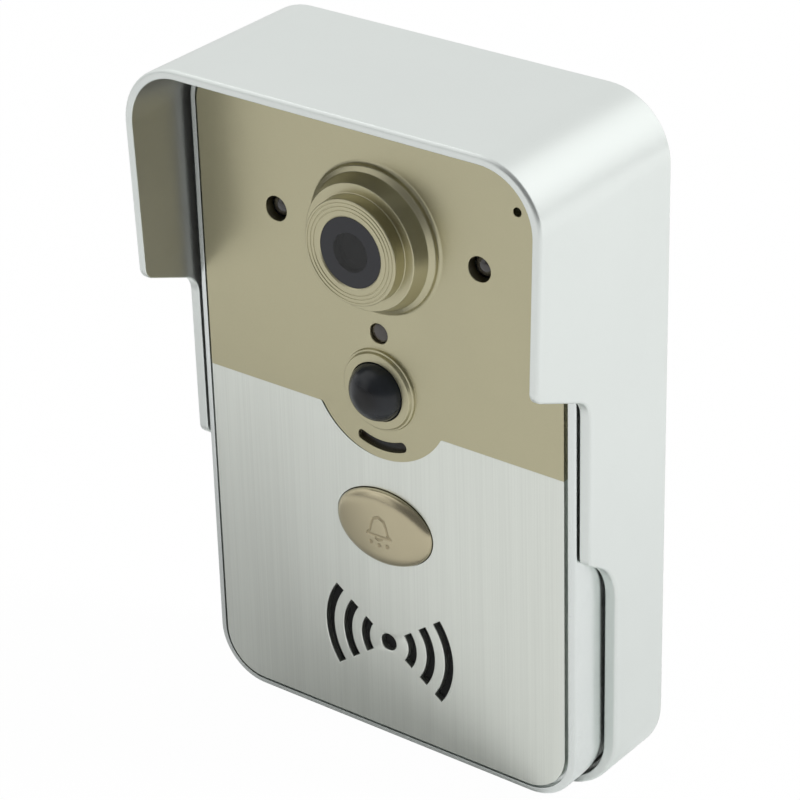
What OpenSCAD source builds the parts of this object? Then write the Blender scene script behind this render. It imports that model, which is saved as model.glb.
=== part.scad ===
// Door intercom panel in a stepped rain hood
// Pieces are drawn with x to the right, y up from the foot of the hood and z out from the wall.
// The module stood_up then sets them against the wall, with the origin in the middle of the back face.

/* [Rain hood] */
// Width across the foot of the hood at the wall
hood_w = 100.1; // [90:0.1:130]
// Lean of each cheek outwards, from the foot to the top
hood_lean = 0.55; // [0.1:0.05:1]
// Height of the hood at the wall
hood_h = 151; // [136:1:180]
// Rise of the roof towards the front
hood_roof_rise = 1.2; // [0:0.1:2]
// Depth of the roof, from the wall to its front edge
hood_d = 43.3; // [38:0.1:60]
// Depth of the cheeks beside the motion sensor
hood_mid_d = 26.9; // [21:0.1:30]
// Depth of the cheeks beside the button and the speaker
hood_low_d = 17.2; // [12:0.1:20]
// Height of the upper step in the cheeks, at its inner end
upper_step_h = 97.4; // [85:0.1:105]
// Rise of the upper step towards the front
upper_step_rise = 6.4; // [3:0.1:9]
// Height of the lower step in the cheeks, at its inner end
lower_step_h = 55.3; // [45:0.1:65]
// Rise of the lower step towards the front
lower_step_rise = 5.9; // [3:0.1:9]
// Radius inside the upper step
upper_step_inner_r = 5; // [1:0.5:6]
// Radius outside the upper step
upper_step_outer_r = 2.8; // [1:0.1:4]
// Radius inside the lower step
lower_step_inner_r = 12; // [4:0.5:14]
// Radius outside the lower step
lower_step_outer_r = 2.5; // [1:0.1:4]
// Corner radius at the top
hood_top_r = 12.5; // [11:0.1:18]
// Corner radius at the foot
hood_foot_r = 14.6; // [13:0.1:18]
// Thickness of the cheeks and the roof at the back
hood_side_t = 3.1; // [2.5:0.1:4]
// Thickness of the foot
hood_foot_t = 2.3; // [2:0.1:4]
// Thickness of the back wall
hood_back_t = 2.5; // [2:0.1:4]
// Draft of the outside, over the whole depth
hood_out_draft = 0.15; // [0.05:0.05:0.6]
// Draft of the inside, over the whole depth
hood_in_draft = 0.75; // [0.2:0.05:1.2]

/* [Wall fixing] */
// Distance across between the wall screws
wall_screw_dx = 60; // [50:1:70]
// Distance up between the wall screws
wall_screw_dy = 100; // [90:1:110]
// Radius of the wall screw holes
wall_hole_r = 2.25; // [1.5:0.05:3]
// Width of the cable window in the back wall
cable_window_w = 40; // [30:1:46]
// Height of the cable window in the back wall
cable_window_h = 24; // [18:1:30]
// Clear space between the back wall and the case
rest_h = 3.5; // [3.2:0.1:6]

/* [Case] */
// Gap between the case and the hood at the sides and the top
case_gap = 0.4; // [0.3:0.1:1]
// Gap between the case and the foot of the hood
foot_gap = 0.6; // [0.3:0.1:1.5]
// Depth of the rear case
rear_depth = 7.6; // [7.2:0.1:10.8]
// Thickness of the seal between the two cases
seal_t = 0.6; // [0.4:0.1:1]
// Depth of the front case
case_depth = 13.4; // [13:0.1:16.2]
// Wall thickness of the front case
case_wall = 4; // [3.8:0.1:5]
// Rounding of the rear edge of the front case
case_edge_r = 0.6; // [0.3:0.1:1]
// Width of the lip around the panel
lip_w = 1.2; // [0.8:0.1:2]
// Rounding of the lip
lip_r = 0.5; // [0.2:0.1:0.6]
// Gap between the lip and the plates
plate_gap = 0.7; // [0.3:0.1:1.2]
// Thickness of the floor behind the lower plate
floor_t = 2; // [1.6:0.1:3]
// Wall thickness of the rear case
rear_wall = 2; // [1.5:0.1:2.5]
// Radius of the case screws
case_screw_r = 1.5; // [1:0.1:1.8]

/* [Front plates] */
// Depth of the lower plate below the lip
plate_recess = 0.2; // [0:0.1:0.6]
// Thickness of the brushed lower plate
plate_t = 1.2; // [1:0.1:2]
// How far the lower plate stands proud of the upper fascia
plate_step = 0.5; // [0.3:0.1:0.8]
// Thickness of the upper fascia
fascia_t = 1.4; // [1.2:0.1:1.8]
// Gap between the fascia and the lower plate
seam_gap = 0.2; // [0.15:0.05:0.6]
// Radius of the tongue under the motion sensor
tongue_r = 16.3; // [15.6:0.1:18]
// Radius where the tongue runs into the seam
tongue_fillet = 3; // [1:0.1:4]

/* [Layout] */
// Least gap between two pieces behind the front
piece_gap = 0.4; // [0.3:0.1:1]
// Share of the spare height that lies under the speaker
foot_share = 0.206; // [0.1:0.001:0.3]
// Share of the spare height between the speaker and the button
speaker_share = 0.034; // [0:0.001:0.1]
// Share of the spare height between the button and the status slot
button_share = 0.368; // [0.2:0.001:0.4]

/* [Camera] */
// Radius of the turret's foot
turret_foot_r = 15.6; // [15.1:0.1:17]
// Radius of the cove between the fascia and the turret's foot
turret_cove = 1.2; // [0.4:0.1:1.6]
// Radius of the turret's shoulder
turret_shoulder_r = 15; // [13.6:0.1:15.5]
// Height of the turret's shoulder above the fascia
turret_shoulder_h = 3.4; // [2.2:0.1:5]
// Radius of the turret's middle ring
turret_middle_r = 13.2; // [11.8:0.1:14]
// Height of the turret's middle ring above the fascia
turret_middle_h = 6; // [5.4:0.1:7.5]
// Radius of the turret's front ring
turret_front_r = 11; // [10.4:0.1:12]
// Height of the turret's front ring above the fascia
turret_front_h = 9; // [8.4:0.1:11]
// Depth of the fine grooves in the turret's front ring
groove_depth = 0.2; // [0.1:0.05:0.4]
// Radius of the black camera window
window_r = 7.4; // [7:0.05:8]
// Thickness of the camera window
window_t = 1.2; // [0.8:0.1:2]
// Radius of the lens barrel
barrel_r = 6; // [5:0.1:6.3]
// Radius of the front lens
lens_r = 4.1; // [3:0.1:4.5]
// Distance of the infrared lamps to each side of the camera
lamp_x = 25.1; // [22:0.1:30]
// Radius of the infrared lamp holes
lamp_hole_r = 2.65; // [2.6:0.05:3]
// Radius of an infrared lamp
lamp_r = 2.5; // [2:0.05:2.5]
// Height of an infrared lamp
lamp_h = 8.6; // [8:0.1:9]

/* [Sensors] */
// Distance of the light sensor below the camera
light_drop = 20.9; // [20:0.1:21.4]
// Radius of the light sensor hole
light_hole_r = 2.2; // [2.1:0.1:2.4]
// Radius of the light sensor
light_r = 2; // [1.5:0.1:2]
// Distance of the motion sensor below the camera
pir_drop = 33.3; // [33:0.1:35]
// Radius of the motion sensor's black lens
pir_r = 6.6; // [6:0.1:7]
// Rise of the motion sensor's lens above its ring
pir_rise = 2.8; // [2:0.1:3.6]
// Outer radius of the ring around the motion sensor
pir_ring_r = 8.5; // [8.3:0.1:9]
// Height of the ring around the motion sensor
pir_ring_h = 2; // [1:0.1:2.5]
// Drop from the motion sensor to the seam
seam_drop = 7; // [6:0.1:8]
// Radius of the status slot, around the motion sensor
status_r = 13.2; // [12.8:0.1:13.6]
// Width of the status slot
status_w = 2.3; // [1.8:0.1:2.5]
// Half the angle of the status slot, to the middle of its round ends
status_angle = 23; // [15:1:28]
// Distance of the microphone from the right side of the case
mic_inset = 12.4; // [11:0.1:16]
// Distance of the microphone above the camera
mic_rise = 14.3; // [13:0.1:15]
// Radius of the microphone's pinhole
mic_hole_r = 0.9; // [0.5:0.1:1.2]

/* [Call button] */
// Half the width of the button
button_rx = 12.15; // [11:0.05:13]
// Half the height of the button
button_ry = 8.45; // [7.5:0.05:8.8]
// How far the button stands out of the lower plate
button_rise = 1.9; // [1.5:0.1:2.5]
// Width of the button's sloping edge
button_bevel = 1.5; // [0.5:0.1:2]
// Travel of the button
button_travel = 0.8; // [0.4:0.1:1]
// Gap around the button
button_gap = 0.35; // [0.2:0.05:0.6]

/* [Speaker] */
// Radius of the speaker
speaker_r = 16; // [15.2:0.1:16.4]
// Radius of the innermost sound slots
slot_first_r = 6.15; // [5:0.05:7]
// Distance from one sound slot to the next
slot_pitch = 4.72; // [3.5:0.01:5]
// Width of the sound slots
slot_w = 1.9; // [1.5:0.1:2.2]
// Half the angle of the sound slots
slot_angle = 36; // [20:1:45]
// Radius of the middle sound hole
slot_dot_r = 1.8; // [1:0.1:2.5]

/* [Circuit board] */
// Thickness of the main board
board_t = 1.6; // [1.2:0.1:2]
// Clear space between the main board and the floor of the front case
board_space = 7.6; // [7.4:0.1:8]

/* [Hidden] */
$fn = 64;
thin = 0.01;
cut = 1;
fit_gap = 0.1;
thread_gap = 0.05;

// Inside of the hood and outline of the case
cavity_w = hood_w - 2 * hood_side_t;
cavity_h = hood_h - hood_foot_t - hood_side_t;
cavity_foot_r = hood_foot_r - hood_side_t;
cavity_top_r = hood_top_r - hood_side_t;
case_w = cavity_w - 2 * case_gap;
case_y = hood_foot_t + foot_gap;
case_h = cavity_h - foot_gap - case_gap;
case_top = case_y + case_h;
inner_w = case_w - 2 * case_wall;

// Planes of the stack, from the wall outwards
rear_z = hood_back_t + rest_h;
flange_z = rear_z + rear_depth;
case_z = flange_z + seal_t;
lip_z = case_z + case_depth;
plate_z = lip_z - plate_recess;
fascia_z = plate_z - plate_step;
fascia_back_z = fascia_z - fascia_t;
floor_z = plate_z - plate_t;
floor_back_z = floor_z - floor_t;
board_z = floor_back_z - board_space;
board_back_z = board_z - board_t;

// Call button, from the flange back to the switch
button_flange = 1.3;
button_flange_t = 1.4;
button_flange_z = floor_back_z - fit_gap - button_flange_t;
button_bevel_h = 1.2;
button_crown_r = 70;
button_stem_r = 2.5;
boot_skin = 0.8;
boot_wall = 0.9;
boot_gap = 0.4;
boot_room = 1.4;
boot_z = button_flange_z - boot_room - boot_skin;
boot_ry = button_ry + button_flange + boot_gap + boot_wall;
switch_w = 6;
switch_floor = 0.2;
switch_room = 0.5;
plunger_room = 0.2;
plunger_r = 1.7;
plunger_l = boot_z - thread_gap - board_z - switch_floor - button_travel - plunger_room;
switch_h = boot_z - board_z - button_travel - switch_room;

// Heights on the front: pieces stack up from the foot and share out the spare height
status_reach = status_r + status_w / 2;
turret_reach = turret_foot_r + 2 * turret_cove;
inner_foot_y = case_y + case_wall;
inner_top_y = case_top - case_wall;
stack_h = 2 * speaker_r + 2 * boot_ry + 2 * piece_gap + status_reach + pir_drop + turret_reach;
spare_h = inner_top_y - inner_foot_y - stack_h;
speaker_h = inner_foot_y + foot_share * spare_h + speaker_r;
button_h = speaker_h + speaker_r + piece_gap + speaker_share * spare_h + boot_ry;
pir_y = button_h + boot_ry + piece_gap + button_share * spare_h + status_reach;
camera_y = pir_y + pir_drop;
light_y = camera_y - light_drop;
seam_y = pir_y - seam_drop;
mic_x = case_w / 2 - mic_inset;
mic_y = camera_y + mic_rise;

// Microphone and its rubber boot
mic_r = 3;
mic_h = 2.7;
mic_boot_wall = 1;
mic_boot_front = 0.5;

// Rear case, its seal and its screws
flange_t = 1.6;
flange_inset = case_edge_r;
rear_inset = case_wall + fit_gap;
boss_inset = 5.6;
boss_r = case_screw_r + 1.7;
screw_head_r = case_screw_r + 1.3;
screw_head_h = 1.8;
case_screw_l = 8;
screw_seat_z = flange_z - 3;
screw_well_r = screw_head_r + 0.3;
rear_boss_r = screw_well_r + 1.2;
mic_room = 0.5;
foot_screw_x = inner_w / 2 - boss_inset;
top_screw_x = mic_x - mic_r - mic_boot_wall - mic_room - boss_r;
screw_ys = [case_y + case_wall + boss_inset, case_top - case_wall - boss_inset];

// Hooks at the top of the hood, pads behind the case and locking screw in the foot
pad_r = 4;
pad_x = 16;
ear_w = 10;
ear_t = 2;
ear_h = 2;
ear_x = 24;
ear_y = case_top - rear_inset;
hook_t = 2;
hook_gap = 0.3;
hook_drop = ear_h - 0.6;
window_corner_r = 3;
lock_screw_r = 1.5;
lock_head_r = lock_screw_r + 1.4;
lock_head_h = 1.4;
lock_screw_l = 9;
lock_boss_r = lock_screw_r + 1.7;
lock_boss_l = 8;
lock_z = rear_z + rear_depth / 2;

// Main board and what stands on its back
board_margin = 2.9;
board_drop = 8.2;
board_room = 1.6;
board_w = inner_w - 2 * board_margin;
board_y = button_h - board_drop;
board_top = screw_ys[1] - rear_boss_r - board_room;
board_h = board_top - board_y;
board_corner_r = 2;
board_screw_r = 1.2;
board_screw_l = 5;
board_boss_r = board_screw_r + 1.4;
board_head_r = board_screw_r + 1;
board_head_h = 1.2;
board_screw_inset = [4, 8];
board_screw_x = board_w / 2 - board_screw_inset.x;
board_mic_gap = 2.9;
mic_foot_y = mic_y - mic_r - mic_boot_wall;
board_screw_top = min(board_top - board_screw_inset.y, mic_foot_y - board_mic_gap - board_boss_r);
board_screw_ys = [board_y + board_screw_inset.y, board_screw_top];
terminal_w = 20.4;
terminal_h = 10;
terminal_pitch = 5.08;
terminal_gap = 0.4;
terminal_z = rear_z + terminal_gap;
terminal_y = hood_h / 2;
terminal_wire_r = 1.2;
terminal_wire_depth = 4.2;
terminal_wire_z = terminal_z + terminal_wire_depth;
terminal_head_r = 1.7;
terminal_head_sink = 0.8;
wireless_size = [16, 12, 2.4];
wireless_inset = 15.6;
wireless_x = board_w / 2 - wireless_inset;

// Camera
window_sink = 0.2;
ledge_t = 1.5;
groove_w = 0.25;
groove_pitch = 0.75;
turret_edge_r = 0.3;
turret_z = fascia_z + turret_front_h;
ledge_z = turret_z - window_sink - window_t;
ledge_hole_r = barrel_r + 0.4;
turret_bore_r = window_r + 1;
barrel_front_z = ledge_z - 0.5;
camera_board_w = 22;
camera_board_t = 1;
connector_size = [12, 4, 0.8];
camera_board_z = board_z + connector_size.z;
holder_z = camera_board_z + camera_board_t;
holder_w = 16;
holder_base_h = 4;
holder_h = 8;
holder_neck_r = barrel_r + 1.6;
chip_size = [9, 9, 1];
chip_room = 0.5;
barrel_back_z = holder_z + chip_size.z + chip_room;
lens_seat = 2;
lens_rise = 0.5;
optic_r = lens_r - 1;

// Lamps and sensors
lamp_collar_r = lamp_r + 0.4;
lamp_collar_h = 1;
light_h = lamp_h - 0.6;
pir_ball_r = (pir_r * pir_r + pir_rise * pir_rise) / (2 * pir_rise);
pir_ring_edge_r = 0.4;
pir_ring_slope = 0.2;
pir_shell = 1;
pir_flange_r = pir_r + 1.3;
pir_flange_t = 1;
pir_can_r = 4.1;
pir_can_h = 4.2;
pir_base_r = pir_can_r + 0.5;
pir_base_h = 0.8;
pir_pane = [4, 3, 0.3];
led_size = [3.2, 1.6, 1.4];
led_angle = 12;
status_foot_z = board_z + led_size.z + fit_gap;
status_sink = 0.3;

// Speaker, from its front rim back
gasket_t = 0.6;
speaker_z = floor_back_z - gasket_t;
cloth_r = speaker_r + 2.4;
cloth_t = 0.3;
rim_w = 1.8;
rim_t = 1.2;
sound_port_r = speaker_r - rim_w;
basket_h = 4.2;
basket_t = 0.7;
magnet_r = 8;
magnet_h = 4;
cone_t = 0.35;
cone_h = 3;
cone_r = sound_port_r - fit_gap;
coil_r = 4;

// Corners given as [x, y, radius] become the points of an outline with round corners.
function unit(v) = v / norm(v);
function turned(v, a) = [v.x * cos(a) - v.y * sin(a), v.x * sin(a) + v.y * cos(a)];
function corner_arc(before, corner, after, steps) =
    let (p = [corner.x, corner.y])
    let (u = unit([before.x, before.y] - p))
    let (v = unit([after.x, after.y] - p))
    let (half = acos(u * v) / 2)
    let (centre = p + unit(u + v) * corner.z / sin(half))
    let (start = p + u * corner.z / tan(half) - centre)
    let (sweep = -sign(cross(u, v)) * (180 - 2 * half))
    corner.z == 0 ? [p] : [for (i = [0 : steps]) centre + turned(start, sweep * i / steps)];
function rounded(corners, steps = 6) =
    let (n = len(corners))
    [for (i = [0 : n - 1])
        each corner_arc(corners[(i + n - 1) % n], corners[i], corners[(i + 1) % n], steps)];
function arc(centre, r, from, to, steps = 16) =
    [for (i = [0 : steps]) let (a = from + (to - from) * i / steps) centre + r * [cos(a), sin(a)]];
function oval(rx, ry) = [for (a = [0 : 5 : 355]) [rx * cos(a), ry * sin(a)]];

// Outline of a curved slot with round ends, around a centre, between two angles.
function curved_slot(centre, r, w, from, to) = concat(
    arc(centre, r + w / 2, from, to),
    arc(centre + r * [cos(to), sin(to)], w / 2, to, to + 180, 8),
    arc(centre, r - w / 2, to, from),
    arc(centre + r * [cos(from), sin(from)], w / 2, from + 180, from + 360, 8));

// Stands the drawing up against the wall.
module stood_up() {
    translate([0, 0, -hood_h / 2]) rotate([90, 0, 0]) children();
}

// Slab of an outline between two distances from the wall.
module slab(z_from, z_to) {
    translate([0, 0, z_from]) linear_extrude(z_to - z_from) children();
}

// Round bar at a place on the front, between two distances from the wall.
module bar(x, y, r, z_from, z_to) {
    translate([x, y, z_from]) cylinder(r = r, h = z_to - z_from);
}

// Box centred on x and y, standing on z.
module block(x, y, z, size) {
    translate([x - size.x / 2, y - size.y / 2, z]) cube(size);
}

// Rectangle with round corners, centred on the y axis and standing on the x axis.
module rounded_rect(w, h, foot_r, top_r) {
    for (side = [-1, 1]) {
        translate([side * (w / 2 - foot_r), foot_r]) circle(foot_r);
        translate([side * (w / 2 - top_r), h - top_r]) circle(top_r);
    }
    translate([-w / 2, foot_r]) square([w, h - foot_r - top_r]);
    translate([-w / 2 + foot_r, 0]) square([w - 2 * foot_r, foot_r + thin]);
    translate([-w / 2 + top_r, h - top_r - thin]) square([w - 2 * top_r, top_r + thin]);
}

// Outline of the case, moved inwards all round.
module case_outline(inset) {
    translate([0, case_y + inset])
        rounded_rect(case_w - 2 * inset, case_h - 2 * inset, cavity_foot_r - inset, cavity_top_r - inset);
}

// Everything above the seam, with the tongue under the motion sensor, grown by a gap.
module above_seam(grow) {
    seam = seam_y - grow;
    r = tongue_r + grow;
    fillet = tongue_fillet - grow;
    drop = pir_y - seam + fillet;
    fillet_x = sqrt(pow(r + fillet, 2) - drop * drop);
    lean = atan2(drop, fillet_x);
    polygon(concat(
        [[-case_w, hood_h], [-case_w, seam]],
        arc([-fillet_x, seam - fillet], fillet, 90, lean, 8),
        arc([0, pir_y], r, 180 + lean, 360 - lean, 32),
        arc([fillet_x, seam - fillet], fillet, 180 - lean, 90, 8),
        [[case_w, seam], [case_w, hood_h]]));
}

// Outline of the hood, with round corners and cheeks that lean outwards.
module leaning_rect(w, h, foot_r, top_r) {
    polygon(rounded([
        [-w / 2, 0, foot_r],
        [w / 2, 0, foot_r],
        [w / 2 + hood_lean, h, top_r],
        [-w / 2 - hood_lean, h, top_r]], 16));
}

// Block whose outline spreads from the back to the front, with its roof rising by an amount of its own.
module drafted(w, h, foot_r, top_r, z_from, z_to, spread, rise) {
    hull() {
        slab(z_from, z_from + thin) leaning_rect(w, h, foot_r, top_r);
        slab(z_to - thin, z_to) translate([0, -spread])
            leaning_rect(w + 2 * spread, h + spread + rise, foot_r + spread, top_r + spread);
    }
}

// Space in front of the stepped cheeks.
module front_cut() {
    reach = hood_d + 2 * cut;
    top = hood_h + hood_roof_rise + cut;
    rotate([0, -90, 0]) linear_extrude(hood_w + 2 * hood_lean + 2 * cut, center = true) polygon(rounded([
        [hood_low_d, -cut, 0],
        [hood_low_d, lower_step_h, lower_step_inner_r],
        [hood_mid_d, lower_step_h + lower_step_rise, lower_step_outer_r],
        [hood_mid_d, upper_step_h, upper_step_inner_r],
        [hood_d, upper_step_h + upper_step_rise, upper_step_outer_r],
        [hood_d, top, 0],
        [reach, top, 0],
        [reach, -cut, 0]]));
}

// Hook over an ear of the rear case, grown into the back wall and the roof.
module hood_hook() {
    roof_y = hood_h - hood_side_t / 2;
    post_y = ear_y + ear_h + hook_gap;
    front_z = rear_z + ear_t + hook_gap;
    root_z = hood_back_t / 2;
    block(0, (post_y + roof_y) / 2, root_z, [ear_w, roof_y - post_y, front_z + hook_t - root_z]);
    block(0, (post_y - hook_drop + roof_y) / 2, front_z, [ear_w, roof_y - post_y + hook_drop, hook_t]);
}

module rain_hood() {
    color("gainsboro") stood_up() difference() {
        union() {
            difference() {
                drafted(hood_w, hood_h, hood_foot_r, hood_top_r, 0, hood_d, -hood_out_draft, hood_roof_rise);
                translate([0, hood_foot_t, 0]) drafted(cavity_w, cavity_h, cavity_foot_r, cavity_top_r,
                    hood_back_t, hood_d + cut, hood_in_draft, hood_in_draft + hood_roof_rise);
                front_cut();
            }
            for (x = [-pad_x, pad_x], y = screw_ys) bar(x, y, pad_r, hood_back_t / 2, rear_z);
            for (x = [-ear_x, ear_x]) translate([x, 0, 0]) hood_hook();
        }
        for (x = [-1, 1], y = [-1, 1])
            translate([x * wall_screw_dx / 2, hood_h / 2 + y * wall_screw_dy / 2, 0])
                bar(0, 0, wall_hole_r, -cut, hood_back_t + cut);
        slab(-cut, hood_back_t + cut) translate([0, (hood_h - cable_window_h) / 2])
            rounded_rect(cable_window_w, cable_window_h, window_corner_r, window_corner_r);
        translate([0, -cut, lock_z]) rotate([-90, 0, 0])
            cylinder(r = lock_screw_r + fit_gap, h = hood_foot_t + 2 * cut);
        translate([0, -thin, lock_z]) rotate([-90, 0, 0])
            cylinder(r1 = lock_head_r + fit_gap, r2 = lock_screw_r + fit_gap, h = lock_head_h);
    }
}

// Front case as one block: round at the rear edge, with a fine slope around the lip.
module case_block() {
    hull() {
        for (a = [0 : 30 : 60])
            slab(case_z + case_edge_r * (1 - cos(a)), case_z + case_edge_r * (1 - cos(a)) + thin)
                case_outline(case_edge_r * (1 - sin(a)));
        slab(case_z + case_edge_r, lip_z - lip_r) case_outline(0);
        slab(lip_z - thin, lip_z) case_outline(lip_r);
    }
}

// Places the children once at each case screw: wide apart at the foot, beside the microphone at the top.
module each_case_screw() {
    for (side = [-1, 1]) {
        translate([side * foot_screw_x, screw_ys[0], 0]) children();
        translate([side * top_screw_x, screw_ys[1], 0]) children();
    }
}

// Openings that go through both the floor of the front case and the fascia.
module sensor_holes(z_from, z_to) {
    for (x = [-lamp_x, lamp_x]) bar(x, camera_y, lamp_hole_r, z_from, z_to);
    bar(0, light_y, light_hole_r, z_from, z_to);
    bar(0, pir_y, pir_r + fit_gap, z_from, z_to);
    bar(mic_x, mic_y, mic_hole_r, z_from, z_to);
    slab(z_from, z_to)
        polygon(curved_slot([0, pir_y], status_r, status_w, 270 - status_angle, 270 + status_angle));
}

module front_case() {
    color("silver") stood_up() difference() {
        union() {
            difference() {
                case_block();
                slab(case_z - cut, floor_back_z) case_outline(case_wall);
                slab(floor_z, lip_z + cut) case_outline(lip_w);
                slab(fascia_back_z, lip_z) intersection() {
                    case_outline(lip_w);
                    above_seam(seam_gap / 2);
                }
            }
            each_case_screw() bar(0, 0, boss_r, case_z, floor_back_z + thin);
            for (x = [-board_screw_x, board_screw_x], y = board_screw_ys)
                bar(x, y, board_boss_r, board_z, floor_back_z + thin);
        }
        each_case_screw()
            bar(0, 0, case_screw_r + thread_gap, case_z - cut, screw_seat_z + case_screw_l + cut);
        for (x = [-board_screw_x, board_screw_x], y = board_screw_ys)
            bar(x, y, board_screw_r + thread_gap, board_z - cut, board_back_z + board_screw_l + cut);
        sensor_holes(floor_back_z - cut, lip_z);
        bar(0, camera_y, holder_neck_r + fit_gap, floor_back_z - cut, lip_z);
        translate([0, button_h, floor_back_z - cut]) linear_extrude(floor_t + 2 * cut)
            polygon(oval(button_rx + button_gap, button_ry + button_gap));
        bar(0, speaker_h, sound_port_r, floor_back_z - cut, lip_z);
        bar(0, speaker_h, cloth_r + fit_gap, floor_z - cloth_t, lip_z);
    }
}

module rear_case() {
    color("dimgray") stood_up() difference() {
        union() {
            difference() {
                union() {
                    slab(rear_z, flange_z) case_outline(rear_inset);
                    slab(flange_z - flange_t, flange_z) case_outline(flange_inset);
                }
                slab(rear_z + rear_wall, flange_z + cut) case_outline(rear_inset + rear_wall);
            }
            each_case_screw() bar(0, 0, rear_boss_r, rear_z, flange_z);
            for (x = [-ear_x, ear_x]) block(x, ear_y + ear_h / 2 - thin, rear_z, [ear_w, ear_h, ear_t]);
            translate([0, case_y, lock_z]) rotate([-90, 0, 0]) cylinder(r = lock_boss_r, h = lock_boss_l);
        }
        each_case_screw() {
            bar(0, 0, screw_well_r, rear_z - cut, screw_seat_z);
            bar(0, 0, case_screw_r + fit_gap, rear_z, flange_z + cut);
        }
        block(0, terminal_y, rear_z - cut,
            [terminal_w + 4 * fit_gap, terminal_h + 4 * fit_gap, rear_wall + 2 * cut]);
        translate([0, case_y - cut, lock_z]) rotate([-90, 0, 0])
            cylinder(r = lock_screw_r + thread_gap, h = lock_screw_l);
    }
}

module case_seal() {
    color("dimgray") stood_up() slab(flange_z, case_z) difference() {
        case_outline(case_edge_r + fit_gap);
        case_outline(case_wall);
    }
}

// Screw with a round head and a six-sided socket, its head towards the wall.
module screw(r, l, head_r, head_h) {
    difference() {
        union() {
            cylinder(r = r, h = l);
            translate([0, 0, -head_h]) cylinder(r = head_r, h = head_h);
        }
        translate([0, 0, -head_h - thin]) cylinder(r = r * 0.9, h = head_h * 0.6, $fn = 6);
    }
}

module case_screws() {
    color("darkgray") stood_up() each_case_screw() translate([0, 0, screw_seat_z])
        screw(case_screw_r, case_screw_l, screw_head_r, screw_head_h);
}

module lock_screw() {
    color("darkgray") stood_up() translate([0, 0, lock_z]) rotate([-90, 0, 0]) difference() {
        union() {
            cylinder(r1 = lock_head_r, r2 = lock_screw_r, h = lock_head_h);
            cylinder(r = lock_screw_r, h = lock_screw_l);
        }
        translate([0, 0, -thin]) cylinder(r = lock_screw_r * 0.9, h = lock_head_h * 0.8, $fn = 6);
    }
}

// Half section of the camera turret above the fascia, with fine grooves in its front ring.
module turret_section() {
    root = -fascia_t / 2;
    difference() {
        polygon(rounded([
            [0, root, 0],
            [turret_foot_r + 2 * turret_cove, root, 0],
            [turret_foot_r + 2 * turret_cove, 0, 0],
            [turret_foot_r, 0, turret_cove],
            [turret_foot_r, turret_cove + turret_edge_r, turret_edge_r / 2],
            [turret_shoulder_r, turret_shoulder_h, 2 * turret_edge_r],
            [turret_middle_r, turret_middle_h, turret_edge_r],
            [turret_front_r, turret_middle_h, turret_edge_r],
            [turret_front_r, turret_front_h, turret_edge_r],
            [0, turret_front_h, 0]]));
        for (i = [1 : 3]) translate([turret_front_r - i * groove_pitch, turret_front_h - groove_depth])
            square([groove_w, 2 * groove_depth]);
    }
}

// Half section of the raised ring around the motion sensor.
module pir_ring_section() {
    polygon(rounded([
        [0, -fascia_t / 2, 0],
        [pir_ring_r, -fascia_t / 2, 0],
        [pir_ring_r, 0, 0],
        [pir_ring_r - pir_ring_slope, pir_ring_h, pir_ring_edge_r],
        [0, pir_ring_h, 0]]));
}

module upper_fascia() {
    color("tan") stood_up() difference() {
        union() {
            slab(fascia_back_z, fascia_z) intersection() {
                case_outline(lip_w + plate_gap);
                above_seam(0);
            }
            translate([0, camera_y, fascia_z]) rotate_extrude() turret_section();
            translate([0, pir_y, fascia_z]) rotate_extrude() pir_ring_section();
        }
        sensor_holes(fascia_back_z - cut, fascia_z + pir_ring_h + cut);
        bar(0, camera_y, turret_bore_r, fascia_back_z - cut, ledge_z - ledge_t);
        bar(0, camera_y, ledge_hole_r, fascia_back_z, turret_z + cut);
        bar(0, camera_y, window_r + fit_gap, ledge_z, turret_z + cut);
    }
}

module lower_plate() {
    color("lightgray") stood_up() slab(floor_z, plate_z) difference() {
        case_outline(lip_w + plate_gap);
        above_seam(seam_gap);
        translate([0, button_h]) polygon(oval(button_rx + button_gap, button_ry + button_gap));
        translate([0, speaker_h]) circle(slot_dot_r);
        for (i = [0 : 2], side = [0, 180]) let (r = slot_first_r + i * slot_pitch)
            translate([0, speaker_h]) polygon(concat(
                arc([0, 0], r - slot_w / 2, side - slot_angle, side + slot_angle),
                arc([0, 0], r + slot_w / 2, side + slot_angle, side - slot_angle)));
    }
}

module camera_window() {
    color("black") stood_up() bar(0, camera_y, window_r, ledge_z, ledge_z + window_t);
}

// Front lens, domed by a ball that meets its rim.
module lens_glass() {
    ball_r = (lens_r * lens_r + lens_rise * lens_rise) / (2 * lens_rise);
    color("midnightblue") stood_up() translate([0, camera_y, barrel_front_z - lens_seat]) intersection() {
        cylinder(r = lens_r - thread_gap, h = lens_seat + cut);
        translate([0, 0, lens_seat - ball_r]) sphere(ball_r);
    }
}

module lens_barrel() {
    color("dimgray") stood_up() difference() {
        bar(0, camera_y, barrel_r, barrel_back_z, barrel_front_z);
        bar(0, camera_y, lens_r, barrel_front_z - lens_seat, barrel_front_z + cut);
        bar(0, camera_y, optic_r, barrel_back_z - cut, barrel_front_z);
    }
}

module lens_holder() {
    color("dimgray") stood_up() difference() {
        union() {
            block(0, camera_y, holder_z, [holder_w, holder_w, holder_base_h]);
            bar(0, camera_y, holder_neck_r, holder_z, holder_z + holder_h);
        }
        bar(0, camera_y, barrel_r + thread_gap, holder_z + chip_size.z, holder_z + holder_h + cut);
        block(0, camera_y, holder_z - cut, chip_size + [2 * fit_gap, 2 * fit_gap, cut + chip_room]);
    }
}

module image_sensor() {
    color("darkslategray") stood_up() block(0, camera_y, holder_z, chip_size);
}

module camera_board() {
    color("darkgreen") stood_up() {
        block(0, camera_y, camera_board_z, [camera_board_w, camera_board_w, camera_board_t]);
        block(0, camera_y, board_z, connector_size + [0, 0, thin]);
    }
}

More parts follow.
